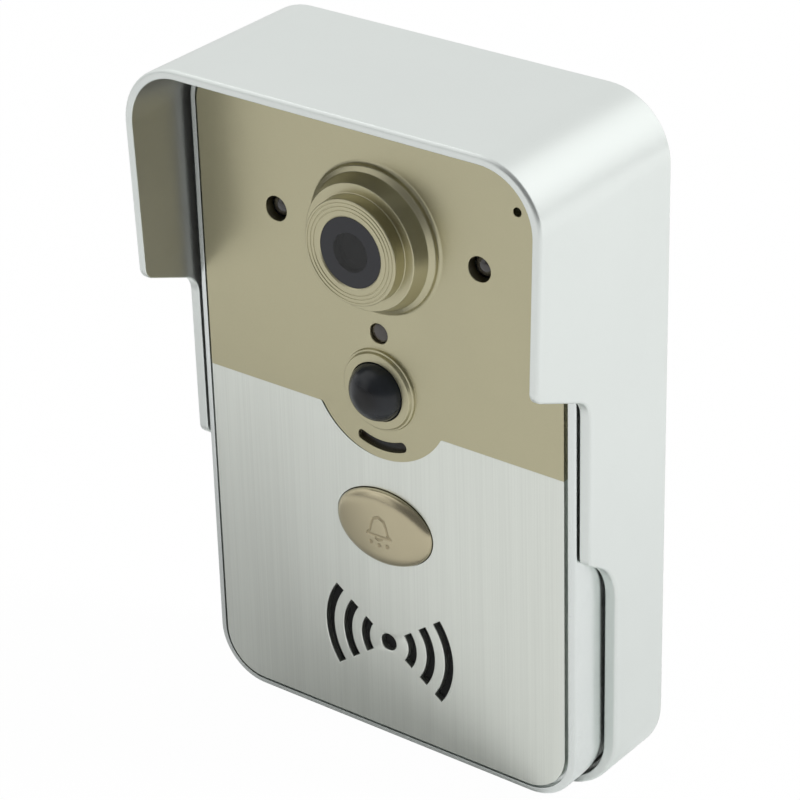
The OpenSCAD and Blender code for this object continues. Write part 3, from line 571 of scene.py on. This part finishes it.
def makeCase():
    look, rear = caseLook, span("case_seal")["front"]
    groove = plateInset + look["grooveGap"]
    bm = bmesh.new()
    rings = []
    for inset, out, outside in caseRows(rear, groove):
        shape = dict(caseShape, right=caseShape["right"] + look["sideGrow"] * outside)
        shift = Vector((look["sideShift"] * outside, 0))
        rings.append(addLevel(bm, [p + shift for p in roundBox(shape, inset)], out))
    joinAll(bm, rings)
    opening = buttonHole(look["buttonGap"])
    ports = [
        roundBox(caseShape, look["lip"] - look["floorReach"]),
        circle(*motionAt, sensorLook["motionHole"]),
        circle(*cameraAt, look["cameraPort"]),
        opening,
        circle(*speakerAt, look["soundPort"]),
    ]
    addPlate(bm, [(loop, 0) for loop in ports] + sensorHoles(0), floorBack, fasciaSpan["back"])
    cloth = span("speaker_cloth")
    clothR = (cloth["right"] - cloth["left"]) / 2 + look["clothGap"]
    sideGap, seamGap = look["floorGap"]
    raised = [belowSeam(groove + sideGap, seamGap), opening, circle(*speakerAt, clothR)]
    addPlate(bm, [(loop, 0) for loop in raised], fasciaSpan["back"], plateSpan["back"])
    board = span("main_board")["front"]
    for node, size, back in (("case_screws", "boss", rear), ("board_screws", "boardBoss", board)):
        hole, wide = look[size]
        boss = [(hole, floorBack), (hole, back), (wide, back), (wide, floorBack)]
        for x, up in fourMiddles(node):
            addLathe(bm, x, up, boss, meshLook["bossPoints"])
    case = makePiece("frontCase", bm, "panel")
    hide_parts("front_case")
    return case


# Brushed lower plate

plateLook = {
    "edge": 0.05, "slotEdge": 0.26, "lift": 0.24, "buttonGap": 0.16,
    "slotFirst": 6.15, "slotPitch": 4.72, "slotW": 2.1, "slotAngle": 36, "dot": 1.95, "slots": 3,
}


def soundSlot(index, side):
    look = plateLook
    r, w, half = look["slotFirst"] + index * look["slotPitch"], look["slotW"] / 2, look["slotAngle"]
    return (
        arc(*speakerAt, r + w, side - half, side + half, 28)
        + arc(*speakerAt, r - w, side + half, side - half, 28)
    )


def makePlate():
    look = plateLook
    bm = bmesh.new()
    outline = belowSeam(plateInset, seamLook["plateGrow"], seamLook["plateShift"])
    loops = [(outline, look["edge"]), (buttonHole(look["buttonGap"]), look["edge"])]
    loops.append((circle(*speakerAt, look["dot"], 64), look["slotEdge"]))
    for index in range(look["slots"]):
        loops += [(soundSlot(index, side), look["slotEdge"]) for side in (0, 180)]
    addPlate(bm, loops, plateSpan["back"], plateSpan["front"] + look["lift"])
    plate = makePiece("lowerPlate", bm, "panel")
    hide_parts("lower_plate")
    return plate


# Champagne fascia with the camera turret; each turn has a radius, a rise and a corner radius

fasciaLook = {
    "edge": 0.05, "holeEdge": 0.2, "thick": 2.2, "turnStep": 9, "sharp": 30,
    "turret": [
        (17.4, 0, 0), (15.8, 0, 0.8), (15.6, 1.2, 0.55), (14.5, 1.95, 0.5),
        (13.33, 5.2, 0.25), (11.25, 5.2, 0.2), (11.15, 8.2, 0.28),
    ],
    "grooves": {"count": 3, "pitch": 0.8, "wide": 0.25, "deep": 0.12, "taper": 0.04, "soft": 0.06},
    "bore": [
        (7.75, 8.2, 0.08), (7.45, 8.0, 0.05), (7.45, 6.8, 0),
        (6.4, 6.8, 0), (6.4, 5.3, 0), (8.55, 5.3, 0),
    ],
    "ring": [
        (9.6, 0, 0), (9.0, 0, 0.12), (8.85, 0.62, 0.12), (8.5, 0.68, 0.1),
        (8.2, 1.4, 0.3), (6.49, 1.4, 0.12), (6.34, 1.1, 0.08),
    ],
}
faceLevel = fasciaSpan["back"] + fasciaLook["thick"]


def raisedProfile(path):  # closed through the thickness of the fascia
    thick = fasciaLook["thick"]
    path = path + [(path[-1][0], -thick, 0), (path[0][0], -thick, 0)]
    return [(p.x, faceLevel + p.y) for p in softened(path, fasciaLook["turnStep"])]


def turretPath():
    path, grooves = list(fasciaLook["turret"]), fasciaLook["grooves"]
    radius, top, corner = path[-1]
    wide, taper, soft, floor = grooves["wide"], grooves["taper"], grooves["soft"], top - grooves["deep"]
    for k in range(1, grooves["count"] + 1):
        r = radius - k * grooves["pitch"]
        path += [(r + wide, top, soft), (r + wide - taper, floor, soft / 2)]
        path += [(r + taper, floor, soft / 2), (r, top, soft)]
    return path + fasciaLook["bore"]


def makeFascia():
    look = fasciaLook
    bm = bmesh.new()
    turret, ring = raisedProfile(turretPath()), raisedProfile(look["ring"])
    loops = [(aboveSeam(plateInset), look["edge"])] + sensorHoles(look["holeEdge"])
    loops.append((circle(*cameraAt, turret[0][0], 160), 0))
    loops.append((circle(*motionAt, ring[0][0], 128), 0))
    addPlate(bm, loops, fasciaSpan["back"], faceLevel)
    addLathe(bm, *cameraAt, turret, 160)
    addLathe(bm, *motionAt, ring, 128)
    fascia = makePiece("upperFascia", bm, "panel", look["sharp"])
    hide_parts("upper_fascia")
    return fascia


# Motion sensor dome, and the domed tips of the infrared lamps and the light sensor

domeLook = {"radius": 6.3, "rise": 5.0, "base": 0.9, "steps": 24, "flangeGap": 0.1}
tipLook = {
    "lamp": {"radius": 2.5, "flange": 2.9, "rise": 1.7, "sink": 1.2},
    "light": {"radius": 2.1, "flange": 2.4, "rise": 0.4, "sink": 0.4},
    "flangeT": 1, "steps": 12, "points": 56,
}


def domedProfile(look, flange, back, shoulder, base, steps):  # a flange, a stem and a dome
    radius, rise, edge = look["radius"], look["rise"], 0.1
    profile = [(0, back), (flange - edge, back), (flange, back + edge), (flange, shoulder - edge)]
    profile += [(flange - edge, shoulder), (radius, shoulder), (radius, base)]
    return profile + [(radius * math.cos(a), base + rise * math.sin(a)) for a in quarter(steps)[1:]]


def makeDome():
    look, reach = domeLook, span("motion_lens")
    flange = (reach["right"] - reach["left"]) / 2
    shoulder, base = fasciaSpan["back"] - look["flangeGap"], faceLevel + look["base"]
    bm = bmesh.new()
    profile = domedProfile(look, flange, reach["back"], shoulder, base, look["steps"])
    addLathe(bm, *motionAt, profile)
    dome = makePiece("motionDome", bm, "panel")
    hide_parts("motion_lens")
    return dome


def addTip(bm, x, up, back, look):
    base, shoulder = faceLevel - look["sink"] - look["rise"], back + tipLook["flangeT"]
    profile = domedProfile(look, look["flange"], back, shoulder, base, tipLook["steps"])
    addLathe(bm, x, up, profile, tipLook["points"])


def makeTips():
    bm = bmesh.new()
    for x in (-lampX, lampX):
        addTip(bm, x, cameraUp, lampSpan["back"], tipLook["lamp"])
    lamps = makePiece("infraredLamps", bm, "panel")
    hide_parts("infrared_lamps")
    bm = bmesh.new()
    addTip(bm, *lightAt, span("light_sensor")["back"], tipLook["light"])
    light = makePiece("lightSensor", bm, "panel")
    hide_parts("light_sensor")
    return lamps, light


# Call button with an engraved bell

buttonLook = {
    "rx": 12.15, "ry": 8.45,
    "flange": 1.3, "flangeEdge": 0.15, "flangeGaps": (0.1, 1.5),
    "stem": 2.5, "stemEdge": 0.2, "lift": 0.6,
    "edge": (2.7, 1.3), "edgeSteps": 8, "faceSteps": 86, "points": 240, "sharp": 60,
    "crown": 70, "engrave": 0.13, "stroke": 0.2, "soft": 0.12, "drawn": (4, 4.5),
    "bell": [
        (-3.0, -1.3), (-2.25, -0.5), (-1.95, 1.0), (-1.3, 2.5), (0, 3.1),
        (1.3, 2.5), (1.95, 1.0), (2.25, -0.5), (3.0, -1.3), (-3.0, -1.3),
    ],
    "clapper": [(-0.8, -1.9), (0, -2.25), (0.8, -1.9)],
    "dots": [(-2.1, -3.2), (0, -3.5), (2.1, -3.2)],
    "dotR": 0.2,
}


def toStroke(spot, path):  # distance from a spot to a drawn line
    best = math.inf
    for a, b in zip(path, path[1:]):
        along = Vector((b[0] - a[0], b[1] - a[1]))
        start = spot - Vector(a)
        t = min(max(start.dot(along) / along.length_squared, 0), 1)
        best = min(best, (start - along * t).length)
    return best


def engraving(spot):  # depth of the bell at a spot on the button
    look, soft = buttonLook, buttonLook["soft"]
    if abs(spot.x) > look["drawn"][0] or abs(spot.y) > look["drawn"][1]:
        return 0
    far = min(toStroke(spot, look["bell"]), toStroke(spot, look["clapper"]))
    far = min([far] + [(spot - Vector(dot)).length - look["dotR"] for dot in look["dots"]])
    return look["engrave"] * eased((look["stroke"] + soft - far) / soft)


def makeButton():
    look, reach = buttonLook, span("call_button")
    front, back = reach["front"] + look["lift"], reach["back"]
    near, far = (floorBack - gap for gap in look["flangeGaps"])  # the flange lies behind the floor
    rx, ry, count = look["rx"], look["ry"], look["points"]
    stem, soft = look["stem"], look["stemEdge"]
    flange, edge = look["flange"], look["flangeEdge"]
    bm = bmesh.new()
    rings = [addRing(bm, [(*buttonAt, back)])]
    for radius, out in ((stem - soft, back), (stem, back + soft), (stem, far)):
        rings.append(addLevel(bm, circle(*buttonAt, radius, count), out))
    rows = [(flange - edge, far), (flange, far + edge), (flange, near - edge)]
    for grow, out in rows + [(flange - edge, near), (0, near)]:
        rings.append(addLevel(bm, oval(*buttonAt, rx + grow, ry + grow, count), out))

    def addFace(inset, share, sink):  # a ring on the crowned and engraved face
        spots = []
        for p in oval(0, 0, (rx - inset) * share, (ry - inset) * share, count):
            level = front - p.length_squared / (2 * look["crown"]) - sink - engraving(p)
            spots.append((*(p + Vector(buttonAt)), level))
        rings.append(addRing(bm, spots))

    wide, high = look["edge"]
    for a in quarter(look["edgeSteps"]):  # soft edge from the wall into the face
        addFace(wide * (1 - math.cos(a)), 1, high * (1 - math.sin(a)))
    for k in range(1, look["faceSteps"]):
        addFace(wide, 1 - k / look["faceSteps"], 0)
    rings.append(addRing(bm, [(*buttonAt, front)]))
    joinAll(bm, rings)
    for face in bm.faces:  # the engraved strokes get a darker copy of the lacquer: painted shade in the grooves
        spot = face.calc_center_median()
        flat = Vector((spot.x / mm, (spot.z - footLevel) / mm)) - Vector(buttonAt)
        cut = -spot.y / mm > front - 1 and engraving(flat) > look["engrave"] / 2
        face.material_index = 1 if cut else 0
    button = makePiece("callButton", bm, "call_button", look["sharp"], 2)
    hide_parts("call_button")
    return button


# Silicone boot behind the button

bootLook = {"wall": 0.9, "skin": 0.8, "edge": 0.2, "fold": (1.6, 2.2, 2.8), "foldDeep": 0.25, "rows": 8}


def makeBoot():
    look, reach = bootLook, span("button_boot")
    rx, ry = (reach["right"] - reach["left"]) / 2, (reach["top"] - reach["foot"]) / 2
    back, front, edge, wall = reach["back"], reach["front"], look["edge"], look["wall"]
    floor, count = back + look["skin"], look["rows"]
    outside, inside = front - back - 2 * edge, front - floor - 2 * edge
    rows = [(edge, back), (0, back + edge)]
    rows += [(0, back + edge + outside * k / count) for k in range(1, count + 1)]
    rows += [(edge, front), (wall - edge, front), (wall, front - edge)]
    rows += [(wall, front - edge - inside * k / count) for k in range(1, count + 1)]
    start, bottom, end = (wall + inset for inset in look["fold"])
    rows += [(wall + edge, floor), (start, floor), (bottom, floor - look["foldDeep"]), (end, floor)]
    bm = bmesh.new()
    rings = [addRing(bm, [(*buttonAt, back)])]
    rings += [addLevel(bm, oval(*buttonAt, rx - inset, ry - inset), out) for inset, out in rows]
    rings.append(addRing(bm, [(*buttonAt, floor)]))
    joinAll(bm, rings)
    boot = makePiece("buttonBoot", bm, None)
    place(*buttonAt, front)
    place(*buttonAt, floor)
    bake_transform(boot)
    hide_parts("button_boot")
    return boot


# Finishes

def tone(*levels):  # screen levels to a shader colour
    return tuple(((level / 255 + 0.055) / 1.055) ** 2.4 for level in levels) + (1,)


class Wire:  # a shader socket that can be reckoned with
    def __init__(self, tree, socket=None):
        self.tree, self.socket = tree, socket

    def add(self, kind, settings=None, inputs=None, output=0):
        made = self.tree.nodes.new(kind)
        for name, value in (settings or {}).items():
            setattr(made, name, value)
        for name, value in (inputs or {}).items():
            if isinstance(value, Wire):
                self.tree.links.new(value.socket, made.inputs[name])
            else:
                made.inputs[name].default_value = value
        return Wire(self.tree, made.outputs[output])

    def others(self, *names):  # more outputs of the node behind this socket
        return [Wire(self.tree, self.socket.node.outputs[name]) for name in names]

    def reckon(self, operation, first, second=0.0):
        return self.add("ShaderNodeMath", {"operation": operation}, {0: first, 1: second})

    def __add__(self, other):
        return self.reckon("ADD", self, other)

    def __sub__(self, other):
        return self.reckon("SUBTRACT", self, other)

    def __rsub__(self, other):
        return self.reckon("SUBTRACT", other, self)

    def __mul__(self, other):
        return self.reckon("MULTIPLY", self, other)

    def __pow__(self, other):
        return self.reckon("POWER", self, other)

    __radd__ = __add__
    __rmul__ = __mul__

    def spots(self):  # place on the piece, in metres
        return self.add("ShaderNodeTexCoord", output="Object")

    def axes(self, vector):
        return self.add("ShaderNodeSeparateXYZ", {}, {"Vector": vector}).others("X", "Y", "Z")

    def facing(self, vector, way):
        settings = {"operation": "DOT_PRODUCT"}
        return self.add("ShaderNodeVectorMath", settings, {0: vector, 1: way}, "Value")

    def noise(self, vector, scale, detail=2):
        return self.add("ShaderNodeTexNoise", {}, {"Vector": vector, "Scale": scale, "Detail": detail})

    def strokes(self, vector, scale, detail):  # noise drawn out along an axis
        drawn = self.add("ShaderNodeMapping", {}, {"Vector": vector, "Scale": scale})
        return self.noise(drawn, 1, detail)

    def ramp(self, value, low, high):  # 0 to 1 between two values
        settings = {"interpolation_type": "SMOOTHSTEP"}
        return self.add("ShaderNodeMapRange", settings, {0: value, 1: low, 2: high})

    def between(self, ends):  # this socket's 0 to 1 as a value between two ends
        low, high = ends
        return low + (high - low) * self

    def blend(self, factor, first, second):
        return self.add("ShaderNodeMix", {"data_type": "RGBA"}, {0: factor, 6: first, 7: second}, 2)

    def bump(self, height, depth):  # depth in millimetres
        return self.add("ShaderNodeBump", {}, {"Height": height, "Distance": depth * mm})

    def into(self, shader, name):
        self.tree.links.new(self.socket, shader.inputs[name])


metal = {"Metallic": 1}
grainLook = {"cloud": 45, "share": 0.6, "band": (0.3, 0.7)}


def newShader(name, settings):
    made = bpy.data.materials.new(name)
    made.use_nodes = True
    shader = made.node_tree.nodes["Principled BSDF"]
    for socket, value in settings.items():
        shader.inputs[socket].default_value = value
    return made, shader, Wire(made.node_tree)


def newFinish(name, look, draw):  # draw gives the colour, the gloss from 0 to 1 and the height
    made, shader, wire = newShader(name, look.get("fixed", {}))
    colour, gloss, height = draw(wire, wire.spots(), look)
    colour.into(shader, "Base Color")
    gloss.between(look["gloss"]).into(shader, "Roughness")
    if height:
        wire.bump(height, look["depth"]).into(shader, "Normal")
    return made


def grained(wire, where, look):  # speckled colour, uneven gloss and a fine grain
    speckle, cloud = wire.noise(where, look["speckle"]), wire.noise(where, look["cloud"], 3)
    share, band = look["share"], look["band"]
    mixed = wire.ramp(speckle * share + cloud * (1 - share), *band)
    colour = wire.blend(mixed, look["dark"], look["light"])
    return colour, wire.ramp((cloud + speckle) * 0.5, *band), wire.noise(where, look["grain"])


def plain(light, dark, gloss, speckle, grain, depth, **more):
    look = dict(grainLook, light=tone(*light), dark=tone(*dark), gloss=gloss)
    return dict(look, speckle=speckle, grain=grain, depth=depth, **more)


silver = {"speckle": 16000, "cloud": 30, "grain": 5000, "depth": 0.002, "fixed": metal}
lacquer = {"speckle": 12000, "cloud": 60, "grain": 9000, "fixed": metal}
smoked = {"Coat Weight": 0.6, "Coat Roughness": 0.05}
clearer = {"Coat Weight": 0.5, "Coat Roughness": 0.06}
plainLooks = {  # light, dark, gloss, speckle, grain and its depth
    "hoodPaint": plain((229, 234, 231), (223, 228, 225), (0.36, 0.42), **silver),
    # the hood's inside wears a darker copy of the silver paint: painted shade
    "hoodInsidePaintedShade": plain((179, 180, 178), (172, 173, 171), (0.38, 0.44), **silver),
    "caseSilver": plain((229, 234, 232), (222, 227, 225), (0.24, 0.3), **silver),
    "champagne": plain((190, 185, 155), (183, 178, 149), (0.31, 0.37), depth=0.0012, **lacquer),
    "buttonChampagne": plain((190, 181, 153), (183, 174, 147), (0.22, 0.28), depth=0.0014, **lacquer),
    # darker copy of the button lacquer for the engraved grooves: painted shade
    "engravedPaintedShade": plain((171, 160, 132), (164, 154, 127), (0.3, 0.4), depth=0.0018, **lacquer),
    "smokedLamp": plain((58, 54, 50), (46, 43, 41), (0.06, 0.1), 700, 900, 0.001, fixed=smoked),
    "sensorGlass": plain((66, 58, 50), (54, 48, 43), (0.08, 0.14), 700, 900, 0.001, fixed=clearer),
    "rearPlastic": plain((74, 76, 79), (62, 64, 67), (0.5, 0.62), 5000, 2600, 0.012),
    "rubber": plain((44, 44, 45), (34, 34, 35), (0.7, 0.85), 3000, 3500, 0.01),
    "blackPlastic": plain((34, 35, 37), (26, 27, 28), (0.4, 0.52), 5000, 4000, 0.006),
    "chip": plain((46, 47, 50), (38, 39, 41), (0.35, 0.5), 9000, 6000, 0.004),
    "nickelCan": plain((206, 203, 194), (188, 185, 176), (0.22, 0.34), 3000, 4000, 0.003, fixed=metal),
    "ledWhite": plain((238, 236, 226), (226, 222, 208), (0.35, 0.45), 3000, 4000, 0.004),
    "aluminiumCan": plain((205, 207, 208), (186, 188, 190), (0.28, 0.4), 2500, 4000, 0.004, fixed=metal),
    "greyBoot": plain((126, 128, 128), (114, 116, 116), (0.6, 0.72), 2500, 3000, 0.008),
    "ivoryPlunger": plain((232, 226, 205), (222, 214, 190), (0.35, 0.45), 2500, 4000, 0.004),
    "speakerSteel": plain(
        (158, 163, 168), (140, 145, 151), (0.3, 0.42), 2600, 3600, 0.005, fixed={"Metallic": 0.9}),
    "conePaper": plain((60, 58, 56), (46, 45, 43), (0.75, 0.9), 1800, 2200, 0.02),
    "magnetIron": plain(
        (92, 92, 94), (74, 74, 76), (0.5, 0.65), 2200, 2600, 0.012, fixed={"Metallic": 0.6}),
    "terminalGreen": plain((64, 138, 82), (54, 124, 72), (0.4, 0.5), 3500, 3500, 0.006),
}
brushedLook = {
    "light": tone(227, 231, 224), "dark": tone(220, 224, 217),
    "fine": (3700, 3700, 24), "broad": (1300, 1300, 11), "wide": (310, 310, 5),
    "shares": (0.4, 0.35, 0.25), "band": (0.36, 0.64),
    "gloss": (0.29, 0.35), "depth": 0.0016, "fixed": metal,
}


def brushed(wire, where, look):  # long fine strokes up and down the plate
    fine = wire.strokes(where, look["fine"], 3)
    broad = wire.strokes(where, look["broad"], 2)
    wide = wire.strokes(where, look["wide"], 2)
    first, second, third = look["shares"]
    stroke = wire.ramp(fine * first + broad * second + wide * third, *look["band"])
    return wire.blend(stroke, look["dark"], look["light"]), stroke, fine


screwLook = {
    "light": tone(196, 198, 200), "dark": tone(168, 170, 173),
    "streak": (1500, 9000, 1500), "band": (0.35, 0.65),
    "gloss": (0.22, 0.4), "depth": 0.004, "fixed": metal,
}


def turned(wire, where, look):  # machine-turned screw steel
    streak = wire.strokes(where, look["streak"], 3)
    return wire.blend(wire.ramp(streak, *look["band"]), look["dark"], look["light"]), streak, streak


windowLook = {
    "at": cameraAt, "turn": (4.1 * mm, 4.22 * mm), "middle": tone(15, 17, 16), "edge": tone(22, 24, 32),
    "see": (0.72, 1.0), "cloud": 2500, "gloss": (0.1, 0.22), "fixed": {"IOR": 1.49},
}
# dark in the middle and lighter bluish towards the rim: the lighter rim is a painted reflection
domePaintedReflectionLook = {
    "at": motionAt, "turn": (1.2 * mm, 4.8 * mm), "middle": tone(6, 6, 8), "edge": tone(38, 42, 47),
    "cloud": 700, "gloss": (0.2, 0.3), "grain": 1200, "depth": 0.002, "fixed": {"IOR": 1.4},
}
# dark middle with a lighter violet tone towards the rim: painted coating sheen
lensPaintedSheenLook = {
    "at": cameraAt, "turn": (0.8 * mm, 3.4 * mm), "middle": tone(10, 10, 12), "edge": tone(46, 44, 62),
    "cloud": 1500, "detail": 2, "gloss": (0.04, 0.07),
    "fixed": {"Coat Weight": 1, "Coat Roughness": 0.03, "IOR": 1.6},
}


def ringed(wire, where, look):  # one colour in the middle and another towards the rim: a printed border on the camera window, a painted reflection on the dome and the lens
    x, y, z = wire.axes(where)
    axis = place(*look["at"], 0)
    away = ((x - axis.x) ** 2.0 + (z - axis.z) ** 2.0) ** 0.5
    rim = wire.ramp(away, *look["turn"])
    if "see" in look:  # the middle is clearer than the rim
        rim.between(look["see"]).into(wire.tree.nodes["Principled BSDF"], "Alpha")
    gloss = wire.noise(where, look["cloud"], look.get("detail", 3))
    height = wire.noise(where, look["grain"]) if "grain" in look else None
    return wire.blend(rim, look["middle"], look["edge"]), gloss, height


clothLook = {
    "light": tone(24, 24, 26), "dark": tone(10, 10, 11),
    "pitch": 0.5 * mm, "gloss": (0.95, 0.75), "depth": 0.06,
}


def woven(wire, where, look):  # plain weave behind the sound slots
    x, y, z = wire.axes(where)
    across, along = (wire.reckon("SINE", way * (math.tau / look["pitch"])) for way in (x, z))
    thread = across * along * 0.5 + 0.5
    return wire.blend(thread, look["dark"], look["light"]), thread, thread


boardLook = {
    "light": tone(30, 92, 58), "dark": tone(24, 80, 49), "run": tone(52, 122, 78),
    "cloud": 300, "gloss": (0.32, 0.48), "depth": 0.03,
    "pattern": {"offset": 0.37, "squash": 0.6, "squash_frequency": 3},
    "runs": {
        "Scale": 420, "Mortar Size": 0.07, "Mortar Smooth": 0.2,
        "Brick Width": 1.9, "Row Height": 0.45,
    },
    "fixed": {"Coat Weight": 0.3, "Coat Roughness": 0.2},
}


def printed(wire, where, look):  # green board with copper runs under its mask
    x, y, z = wire.axes(where)
    flat = wire.add("ShaderNodeCombineXYZ", {}, {0: x, 1: z})
    runs = wire.add("ShaderNodeTexBrick", look["pattern"], dict(look["runs"], Vector=flat), 1)
    cloud = wire.noise(where, look["cloud"], 3)
    mask = wire.blend(cloud, look["dark"], look["light"])
    return wire.blend(runs, mask, look["run"]), cloud, runs


guideLook = {
    "middle": tone(26, 27, 30), "ends": tone(34, 26, 17), "turn": (1.2 * mm, 5 * mm), "share": 0.85,
    "cloud": 900, "gloss": (0.14, 0.28), "grain": 2500, "depth": 0.003,
    "fixed": {"Specular IOR Level": 0.3},
}


def guiding(wire, where, look):  # smoked guide, warmer towards its ends
    x, y, z = wire.axes(where)
    end, share = wire.ramp(wire.reckon("ABSOLUTE", x), *look["turn"]), look["share"]
    cloud = wire.noise(where, look["cloud"], 3)
    colour = wire.blend(end * share + cloud * (1 - share), look["middle"], look["ends"])
    return colour, cloud, wire.noise(where, look["grain"])


def wear(piece, *finishes):
    for index, slot in enumerate(piece.material_slots):
        slot.material = finishes[min(index, len(finishes) - 1)]


def dressAll(made):
    finish = {name: newFinish(name, look, grained) for name, look in plainLooks.items()}
    finish["turnedSteel"] = newFinish("turnedSteel", screwLook, turned)
    wear(made["hood"], finish["hoodPaint"], finish["hoodInsidePaintedShade"])
    wear(made["case"], finish["caseSilver"])
    wear(made["plate"], newFinish("brushedPlate", brushedLook, brushed))
    wear(made["fascia"], finish["champagne"])
    wear(made["button"], finish["buttonChampagne"], finish["engravedPaintedShade"])
    wear(made["dome"], newFinish("motionPaintedReflection", domePaintedReflectionLook, ringed))
    wear(made["lamps"], finish["smokedLamp"])
    wear(made["light"], finish["sensorGlass"])
    wear(made["boot"], finish["greyBoot"])
    inner = [
        (finish["rearPlastic"], "rear_case"),
        (finish["rubber"], "case_seal", "microphone_boot", "speaker_gasket"),
        (finish["blackPlastic"], "lens_barrel", "lens_holder", "button_switch"),
        (finish["chip"], "image_sensor"),
        (finish["nickelCan"], "motion_sensor", "wireless_module"),
        (finish["ledWhite"], "status_leds"),
        (finish["aluminiumCan"], "microphone"),
        (finish["ivoryPlunger"], "switch_plunger"),
        (finish["speakerSteel"], "speaker_frame"),
        (finish["conePaper"], "speaker_cone"),
        (finish["magnetIron"], "speaker_magnet"),
        (finish["terminalGreen"], "terminal_block"),
        (finish["turnedSteel"], "case_screws", "lock_screw", "board_screws", "terminal_screws"),
        (newFinish("printedBoard", boardLook, printed), "camera_board", "main_board"),
        (newFinish("cameraWindow", windowLook, ringed), "camera_window"),
        (newFinish("coatedLensPaintedSheen", lensPaintedSheenLook, ringed), "lens_glass"),
        (newFinish("smokedGuide", guideLook, guiding), "status_light_guide"),
        (newFinish("speakerCloth", clothLook, woven), "speaker_cloth"),
    ]
    for worn, *names in inner:
        for name in names:
            wear(nodes[name], worn)


# Studio

studioLook = {
    "floor": 3,
    "paint": {"Base Color": tone(236, 236, 236), "Roughness": 0.9, "Specular IOR Level": 0.1},
    "glow": 0.985, "mirrored": 0.05,
    "brightSide": (-0.42, 0.62, 0.66), "world": (0.2, 0.9), "fill": 0.8, "turn": (-0.15, 0.45),
    "gloom": ((0.45, -0.25, 0.857), 0.74, 0.9, 0.8),
    "lamps": {  # place, size, power and whether metal mirrors it
        "keySoftbox": ((2.86, 1.33, 2.46), 0.9, 139.0, False),
        "cornerSoftbox": ((0.77, 1.15, 0.74), 1.4, 2.7, True),
        "edgeSoftbox": ((-0.82, -0.7, 1.04), 1.2, 0.9, True),
        "frontSoftbox": ((-0.95, -1.44, 0.49), 0.9, 1.6, True),
        "glintSoftbox": ((-0.87, 0.28, 1.2), 0.3, 0.45, True),
    },
}


def makeFloor():
    look, far = studioLook, studioLook["floor"]
    bm = bmesh.new()
    corners = ((-far, -far), (far, -far), (far, far), (-far, far))
    bm.faces.new([bm.verts.new((x, y, footLevel)) for x, y in corners])
    floor = newObject("studioFloor", bm)
    made, shader, wire = newShader("paleFloor", look["paint"])
    glow = wire.add("ShaderNodeEmission")  # white
    seen = wire.add("ShaderNodeLightPath", output="Is Camera Ray")
    gloss, through = seen.others("Is Glossy Ray", "Is Transmission Ray")
    share = seen * look["glow"] + wire.reckon("MAXIMUM", gloss, through) * look["mirrored"]
    painted = Wire(wire.tree, shader.outputs[0])
    both = wire.add("ShaderNodeMixShader", {}, {0: share, 1: painted, 2: glow})
    both.into(wire.tree.nodes["Material Output"], "Surface")
    floor.data.materials.append(made)


def makeLights():
    look = studioLook
    world = bpy.data.worlds.new("softStudio")
    world.use_nodes = True
    wire, sky = Wire(world.node_tree), world.node_tree.nodes["Background"]
    sky.inputs["Color"].default_value = (1, 1, 1, 1)
    way = wire.add("ShaderNodeTexCoord", output="Generated")
    bright = wire.ramp(wire.facing(way, look["brightSide"]), *look["turn"])
    side, start, end, deep = look["gloom"]  # a darker part of the room
    gloom = 1 - deep * wire.ramp(wire.facing(way, side), start, end)
    level = (bright * gloom).between(look["world"])
    seen = wire.add("ShaderNodeLightPath", output="Is Camera Ray")
    gloss, = seen.others("Is Glossy Ray")
    share = gloss.between((look["fill"], 1))
    (level * share * (1 - seen) + seen).into(sky, "Strength")
    scene.world = world
    for name, (spot, size, power, mirrored) in look["lamps"].items():
        lamp = bpy.data.lights.new(name, "AREA")
        lamp.size, lamp.energy = size, power
        holder = bpy.data.objects.new(name, lamp)
        holder.location = spot
        holder.rotation_euler = (-Vector(spot)).to_track_quat("-Z", "Y").to_euler()
        holder.visible_camera = False
        holder.visible_glossy = mirrored
        scene.collection.objects.link(holder)


shotLook = {
    "yaw": 38.12, "pitch": 27.80, "roll": -1.68,
    "focal": 3200, "width": 800, "film": 36, "near": 0.01,
    "reach": 0.6865, "aim": (0, 0, -0.04601), "slide": (-0.014309, 0.03709),
}


def makeCamera():
    look = shotLook
    yaw, pitch, roll = (math.radians(look[key]) for key in ("yaw", "pitch", "roll"))
    flat = math.cos(pitch)
    forward = Vector((-math.sin(yaw) * flat, math.cos(yaw) * flat, -math.sin(pitch)))
    level = Vector((math.cos(yaw), math.sin(yaw), 0))
    steep = level.cross(forward)
    right = level * math.cos(roll) + steep * math.sin(roll)
    up = steep * math.cos(roll) - level * math.sin(roll)
    across, rise = look["slide"]
    spot = Vector(look["aim"]) + right * across + up * rise - forward * look["reach"]
    lens = bpy.data.cameras.new("shot")
    lens.sensor_width = look["film"]
    lens.lens = look["focal"] * look["film"] / look["width"]
    lens.clip_start = look["near"]
    camera = bpy.data.objects.new("shot", lens)
    turn = Matrix((right, up, -forward)).transposed().to_4x4()
    camera.matrix_world = Matrix.Translation(spot) @ turn
    scene.collection.objects.link(camera)
    scene.camera = camera


made = {"hood": makeHood()}
print("hood made")
made.update(case=makeCase(), plate=makePlate())
print("case and plate made")
made.update(fascia=makeFascia(), dome=makeDome())
made["lamps"], made["light"] = makeTips()
made.update(button=makeButton(), boot=makeBoot())
print("fascia and button made")
dressAll(made)
print("finishes on")
makeFloor()
makeLights()
makeCamera()
scene.view_settings.view_transform = "Standard"
print("studio ready")

bpy.context.view_layer.update()
